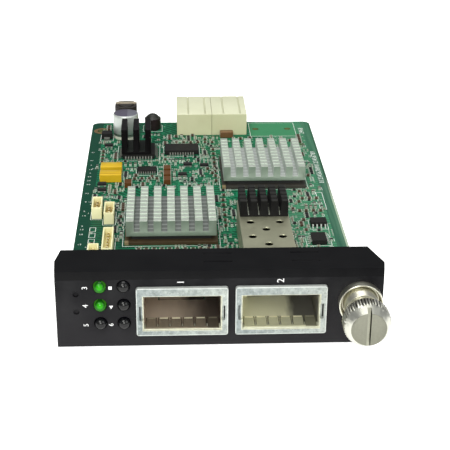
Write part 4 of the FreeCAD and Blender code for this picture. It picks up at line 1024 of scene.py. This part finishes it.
def onBoard(x, y, turn=0.0, size=(1, 1, 1), level=boardTop):
    return Matrix.Translation((x, y, level)) @ Matrix.Rotation(turn, 4, "Z") @ Matrix.Diagonal((*size, 1))


edgeRoom = 0.003  # m, kept clear of small parts along the board's edges


def isFree(x, y, width, depth, gap):
    low = (x - width / 2 - gap, y - depth / 2 - gap)
    high = (x + width / 2 + gap, y + depth / 2 + gap)
    if low[0] < boardLow[0] + edgeRoom or high[0] > boardHigh[0] - edgeRoom:
        return False
    if high[1] > boardHigh[1] - edgeRoom:
        return False
    return not any(low[0] < c and high[0] > a and low[1] < d and high[1] > b for a, b, c, d in taken)


fields = {  # low x, low y, high x, high y in mm, tries, share of upright parts
    "leftRear": (-38.2, 112.5, -29.6, 142.0, 60, 0.5),
    "frontOfConnectors": (-17.0, 133.0, 6.0, 145.2, 90, 0.4),
    "besideRearSink": (-2.5, 96.0, 4.6, 134.0, 80, 0.6),
    "middle": (-29.0, 95.5, -2.0, 125.0, 190, 0.5),
    "leftMiddle": (-37.5, 76.0, -27.0, 100.0, 60, 0.5),
    "besideFrontSink": (2.0, 43.0, 7.6, 93.5, 60, 0.5),
    "right": (23.2, 44.0, 37.8, 93.5, 210, 0.3),
    "frontRow": (-30.0, 42.0, 2.0, 50.5, 50, 0.4),
    "rearRight": (5.0, 122.0, 36.0, 142.0, 70, 0.5),
    "rightEdge": (33.4, 95.0, 37.0, 133.0, 40, 0.5),
    "leftFront": (-38.4, 30.0, -26.0, 64.0, 40, 0.5),
    "besideCan": (-38.0, 147.0, -33.0, 157.0, 6, 0.5),
    "headerGap": (-28.6, 54.0, -25.6, 74.0, 40, 0.2),
    "behindPower": (-22.0, 135.5, -16.0, 149.0, 14, 0.5),
}
kinds = ["largeCap", "smallCap", "resistor", "smallCap", "resistor", "barePads"]
rowShape = {  # parts stand in short rows; gaps in mm, shares of rows with ink lines and with a number
    "lengths": (1, 1, 2, 2, 3, 4, 5), "gaps": (0.4, 0.55, 0.8),
    "lined": 0.45, "numbered": 0.5, "mostNumber": 99,
}
padShape = {"reach": 0.44, "length": 0.36, "width": 1.12, "thick": 0.035}  # shares of the part; mm
partRoom = 0.0002  # m, kept free round a part
partPlaces = {"largeCap": [], "smallCap": [], "resistor": []}
padPlaces = []
inkPlaces = []
boardNumbers = []  # number, its own frame, height in mm
inkShape = {"line": 0.15, "outline": 0.17, "thick": 0.02, "label": 0.8}  # mm


def shifted(x, y, stand, reach):  # a step along a part that lies across or stands
    return (x, y + reach) if stand else (x + reach, y)


def addPads(x, y, stand, length, width):  # the two pads of a chip part
    for side in (-1, 1):
        padX, padY = shifted(x, y, stand, side * length * padShape["reach"] * mm)
        size = (length * padShape["length"] * mm, width * padShape["width"] * mm, 1)
        padPlaces.append(onBoard(padX, padY, quarter if stand else 0.0, size))


def addPart(kind, x, y, stand):  # true if there was room for it
    length, width = chipShapes[kind][:2]
    across, along = (width, length) if stand else (length, width)
    if not isFree(x, y, across * mm, along * mm, partRoom):
        return False
    taken.append((x - across / 2 * mm, y - along / 2 * mm, x + across / 2 * mm, y + along / 2 * mm))
    if kind in partPlaces:
        partPlaces[kind].append(onBoard(x, y, quarter if stand else 0.0))
    addPads(x, y, stand, length, width)
    return True


def addRow(lowX, lowY, highX, highY, upright):  # a short row of one kind, as far as there is room
    kind = dice.choice(kinds)
    length, width = chipShapes[kind][:2]
    x = round(dice.uniform(lowX, highX) * 2) / 2 * mm
    y = round(dice.uniform(lowY, highY) * 2) / 2 * mm
    stand = dice.random() < upright
    pitch = (width + dice.choice(rowShape["gaps"])) * mm
    lined = dice.random() < rowShape["lined"]
    for item in range(dice.choice(rowShape["lengths"])):
        if not addPart(kind, x, y, stand):
            return
        nextX, nextY = shifted(x, y, not stand, pitch)
        if lined:  # an ink line between parts
            size = (length * 1.2 * mm, inkShape["line"] * mm, 1)
            inkPlaces.append(onBoard((x + nextX) / 2, (y + nextY) / 2, quarter if stand else 0.0, size))
        if item == 0 and dice.random() < rowShape["numbered"]:
            number = str(dice.randint(1, rowShape["mostNumber"]))
            labelX, labelY = shifted(x, y, stand, -(length / 2 + 0.7) * mm)
            boardNumbers.append((number, onBoard(labelX, labelY), inkShape["label"]))
        x, y = nextX, nextY


def boxMiddles(boxes):  # x and y of each
    return [middleOf(low, high)[:2] for low, high in boxes]


for x, y in boxMiddles(manySolids["chip_components"]):
    addPads(x, y, False, *chipShapes["largeCap"][:2])
for lowX, lowY, highX, highY, tries, upright in fields.values():
    for index in range(tries):
        addRow(lowX, lowY, highX, highY, upright)
print("small parts:", {kind: len(found) for kind, found in partPlaces.items()}, "pads:", len(padPlaces))

solidRows = {  # piece: model, body, node that it stands for, slot
    "chip_rows": ("largeCap", sandCeramic, "chip_components", "small_parts"),
    "ceramic_blocks": ("ceramicBlock", tanCeramic, "ceramic_capacitors", "ceramic"),
}
for name, (kind, body, node, slot) in solidRows.items():
    piece = spread(name, modelChip(kind, body), [onBoard(x, y) for x, y in boxMiddles(manySolids[node])])
    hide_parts(node)
    hold(piece)
for kind, body in (("largeCap", sandCeramic), ("smallCap", greyCeramic), ("resistor", resistorBlack)):
    hold(spread(kind + "_parts", modelChip(kind, body), partPlaces[kind]))


def modelPatch(name, thick, finish):  # a thin flat patch, one unit square
    clearPick()
    bpy.ops.mesh.primitive_plane_add(size=1)
    piece = settle(bpy.context.object, name)
    openMesh(piece)
    thicken(thick)
    return dress(piece, finish)


hold(spread("solder_pads", modelPatch("pad", padShape["thick"], tin), padPlaces))

viaShape = {"radius": 0.3, "hole": 0.14, "thick": 0.04, "sides": 10}  # mm
viaField = {"across": 37.0, "front": 24.0, "rear": 157.0, "gap": 0.15, "tries": 420}  # mm, and a count


def modelVia():  # a plated ring round a dark hole
    radius, thick = viaShape["radius"] * mm, viaShape["thick"] * mm
    clearPick()
    bpy.ops.mesh.primitive_cylinder_add(vertices=viaShape["sides"], radius=radius, depth=thick,
                                        location=(0, 0, thick / 2))
    piece = settle(bpy.context.object, "via")
    pickParts(piece, "polygons", lambda face: face.normal.z > 0.9)
    bpy.ops.mesh.inset(thickness=radius - viaShape["hole"] * mm)
    bpy.ops.mesh.extrude_region_move(TRANSFORM_OT_translate={"value": (0, 0, -0.6 * thick)})
    closeMesh()
    dress(piece, tin, resistorBlack)
    for face in piece.data.polygons:
        face.material_index = int(face.select)
    return piece


taken.append(tuple(value * mm for value in emptyPlace))
viaPlaces = []
for index in range(viaField["tries"]):
    x = dice.uniform(-viaField["across"], viaField["across"]) * mm
    y = dice.uniform(viaField["front"], viaField["rear"]) * mm
    if isFree(x, y, 2 * viaShape["radius"] * mm, 2 * viaShape["radius"] * mm, viaField["gap"] * mm):
        viaPlaces.append(onBoard(x, y))
hold(spread("plated_vias", modelVia(), viaPlaces))

ringShape = {"hole": 1.75, "width": 1.25, "thick": 0.035, "sides": 48}  # mm


def modelRingPad():  # bare, round the mounting hole
    outer = (ringShape["hole"] + ringShape["width"]) * mm
    clearPick()
    bpy.ops.mesh.primitive_circle_add(vertices=ringShape["sides"], radius=outer, fill_type="NGON")
    piece = settle(bpy.context.object, "hole_pad")
    pickParts(piece, "polygons", lambda face: True)
    bpy.ops.mesh.inset(thickness=ringShape["width"] * mm)
    bpy.ops.mesh.delete(type="FACE")
    thicken(ringShape["thick"])
    return dress(piece, copper)


mountHole = mountAt["rear_board_hole"]
hold(spread("hole_pad", modelRingPad(), [onBoard(mountHole[0], mountHole[1])]))
print("pads and plated holes set")


def drawBox(lowX, lowY, highX, highY):  # a drawn rectangle in mm
    wide = inkShape["outline"] * mm
    for y in (lowY, highY):
        inkPlaces.append(onBoard((lowX + highX) / 2 * mm, y * mm, 0.0, ((highX - lowX) * mm, wide, 1)))
    for x in (lowX, highX):
        inkPlaces.append(onBoard(x * mm, (lowY + highY) / 2 * mm, 0.0, (wide, (highY - lowY) * mm, 1)))


outlined = {  # node: distance of its ink outline in mm
    "memory_chip": 0.4, "logic_chip": 0.35, "driver_chip": 0.35, "flash_chip": 0.35, "power_chip": 0.5,
    "pin_header_1": 0.4, "pin_header_2": 0.4, "pin_header_3": 0.4, "pin_header_4": 0.4,
    "processor_front": 0.6, "processor_rear": 0.6, "rectifier_diode": 0.4, "power_choke": 0.5,
}
for name, gap in outlined.items():
    low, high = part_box(name)
    drawBox(low[0] / mm - gap, low[1] / mm - gap, high[0] / mm + gap, high[1] / mm + gap)
drawBox(*emptyPlace)
emptyStrip = (35.4, 76.0, 37.4, 90.0)  # mm, at the right
emptyParts = {"place": (-37.2, 48.4, -35.4, 51.4), "pitch": 4.2, "count": 4}  # mm, beside the headers
drawBox(*emptyStrip)
for index in range(emptyParts["count"]):
    lowX, lowY, highX, highY = emptyParts["place"]
    drawBox(lowX, lowY + emptyParts["pitch"] * index, highX, highY + emptyParts["pitch"] * index)
hold(spread("ink_lines", modelPatch("ink", inkShape["thick"], whiteInk), inkPlaces))

digitShape = {"thick": 0.02, "advance": 0.62}  # mm, and a share of the digit's height


def modelDigit(digit, finish):
    clearPick()
    bpy.ops.object.text_add()
    text = bpy.context.object.data
    text.body = digit
    text.size = 1.0
    text.align_x = "CENTER"
    text.align_y = "CENTER"
    text.resolution_u = 2
    bpy.ops.object.convert(target="MESH")
    piece = settle(bpy.context.object, "digit" + digit)
    openMesh(piece)
    bpy.ops.mesh.dissolve_limited(angle_limit=math.radians(8))
    thicken(digitShape["thick"])
    return dress(piece, finish)


def writeNumbers(name, labels, finish):
    models = {digit: modelDigit(digit, finish) for digit in "0123456789"}
    items = []
    for number, matrix, height in labels:
        scale = Matrix.Diagonal((height * mm, height * mm, 1, 1))
        for index, digit in enumerate(number):
            along = (index - (len(number) - 1) / 2) * digitShape["advance"] * height * mm
            items.append((models[digit], matrix @ Matrix.Translation((along, 0, 0)) @ scale))
    hold(joined(name, items))
    for model in models.values():
        bpy.data.objects.remove(model)


edgeNumbers = {  # number, x, y in mm, height in mm, quarter turns
    "rightFront": ("01234567890123456789", 38.6, 113.0, 2.4, 1),
    "rightRear": ("2468", 36.8, 149.5, 2.6, 1),
    "besideLogic": ("16", -26.2, 112.6, 1.3, 0),
    "besidePower": ("4", -31.4, 127.0, 1.4, 0),
    "besideHeaders": ("1", -38.3, 75.0, 1.3, 0),
    "besideLong": ("7", -28.6, 47.0, 1.3, 0),
    "frontLeft": ("1357", -18.0, 44.6, 1.5, 0),
    "frontMiddle": ("2468", -11.0, 44.6, 1.5, 0),
    "frontRight": ("1470", -4.0, 44.6, 1.5, 0),
}
for number, x, y, height, quarters in edgeNumbers.values():
    boardNumbers.append((number, onBoard(x * mm, y * mm, quarters * quarter), height))
leftMarks = {  # small numbers down the left edge, mm
    "x": -39.7, "first": 52.0, "last": 134.0, "height": 1.1, "steps": (2.4, 8.0), "mostNumber": 48,
}
y = leftMarks["first"]
while y < leftMarks["last"]:
    number = str(dice.randint(1, leftMarks["mostNumber"]))
    boardNumbers.append((number, onBoard(leftMarks["x"] * mm, y * mm), leftMarks["height"]))
    y += dice.uniform(*leftMarks["steps"])
writeNumbers("board_numbers", boardNumbers, whiteInk)
print("white ink set:", len(boardNumbers), "numbers")

# solder round the pins that come through the board
solderShape = {"foot": 0.75, "tip": 0.38, "height": 0.45, "sides": 12}  # mm
waist = {"place": 0.4, "width": 0.82}  # shares of the cone


def modelSolder():  # a small hollow-sided cone that hangs from the underside
    height = solderShape["height"] * mm
    clearPick()
    bpy.ops.mesh.primitive_cone_add(vertices=solderShape["sides"], radius1=solderShape["tip"] * mm,
                                    radius2=solderShape["foot"] * mm, depth=height,
                                    location=(0, 0, -height / 2))
    piece = settle(bpy.context.object, "solder")
    openMesh(piece)
    bpy.ops.mesh.bisect(plane_co=(0, 0, -waist["place"] * height), plane_no=(0, 0, 1))
    bpy.ops.transform.resize(value=(waist["width"], waist["width"], 1))
    closeMesh()
    return dress(piece, tin)


pinBoxes = solidBoxes("header_pins") + solidBoxes("light_pins")
throughBoxes = [(low, high) for low, high in pinBoxes if low[2] < boardLow[2] - 0.1 * mm]
solderPlaces = [onBoard(x, y, level=boardLow[2]) for x, y in boxMiddles(throughBoxes)]
if solderPlaces:
    hold(spread("pin_solder", modelSolder(), solderPlaces))
print("solder on", len(solderPlaces), "pins")

# marks on the front plate
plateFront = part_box("bezel")[0][1]
plateMarks = {  # number: x, z in mm, height in mm
    "1": (-10.0, 18.3, 2.6),
    "2": (15.5, 18.4, 2.6),
    "3": (-34.4, 17.0, 2.0),
    "4": (-34.4, 11.8, 2.0),
    "5": (-34.4, 6.3, 1.8),
    "6": (-28.0, 6.3, 1.8),
}
signs = {"square": (-28.0, 16.9, 0.9), "triangle": (-27.9, 11.5, 1.0)}  # x, z, size in mm


def onPlate(x, z, turn=0.0, size=(1, 1, 1)):
    upright = Matrix.Rotation(quarter, 4, "X") @ Matrix.Rotation(turn, 4, "Z")
    return Matrix.Translation((x * mm, plateFront, z * mm)) @ upright @ Matrix.Diagonal((*size, 1))


plateNumbers = [(number, onPlate(x, z, quarter), height) for number, (x, z, height) in plateMarks.items()]
writeNumbers("plate_numbers", plateNumbers, plateInk)


def modelTriangle():
    clearPick()
    bpy.ops.mesh.primitive_circle_add(vertices=3, radius=0.62, fill_type="NGON", rotation=(0, 0, math.pi))
    piece = settle(bpy.context.object, "triangle")
    openMesh(piece)
    thicken(digitShape["thick"])
    return dress(piece, plateInk)


signModels = {"square": modelPatch("square", digitShape["thick"], plateInk), "triangle": modelTriangle()}
signItems = []
for key, (x, z, side) in signs.items():
    signItems.append((signModels[key], onPlate(x, z, 0.0, (side * mm, side * mm, 1))))
hold(joined("plate_signs", signItems))
for model in signModels.values():
    bpy.data.objects.remove(model)
print("front plate marked")
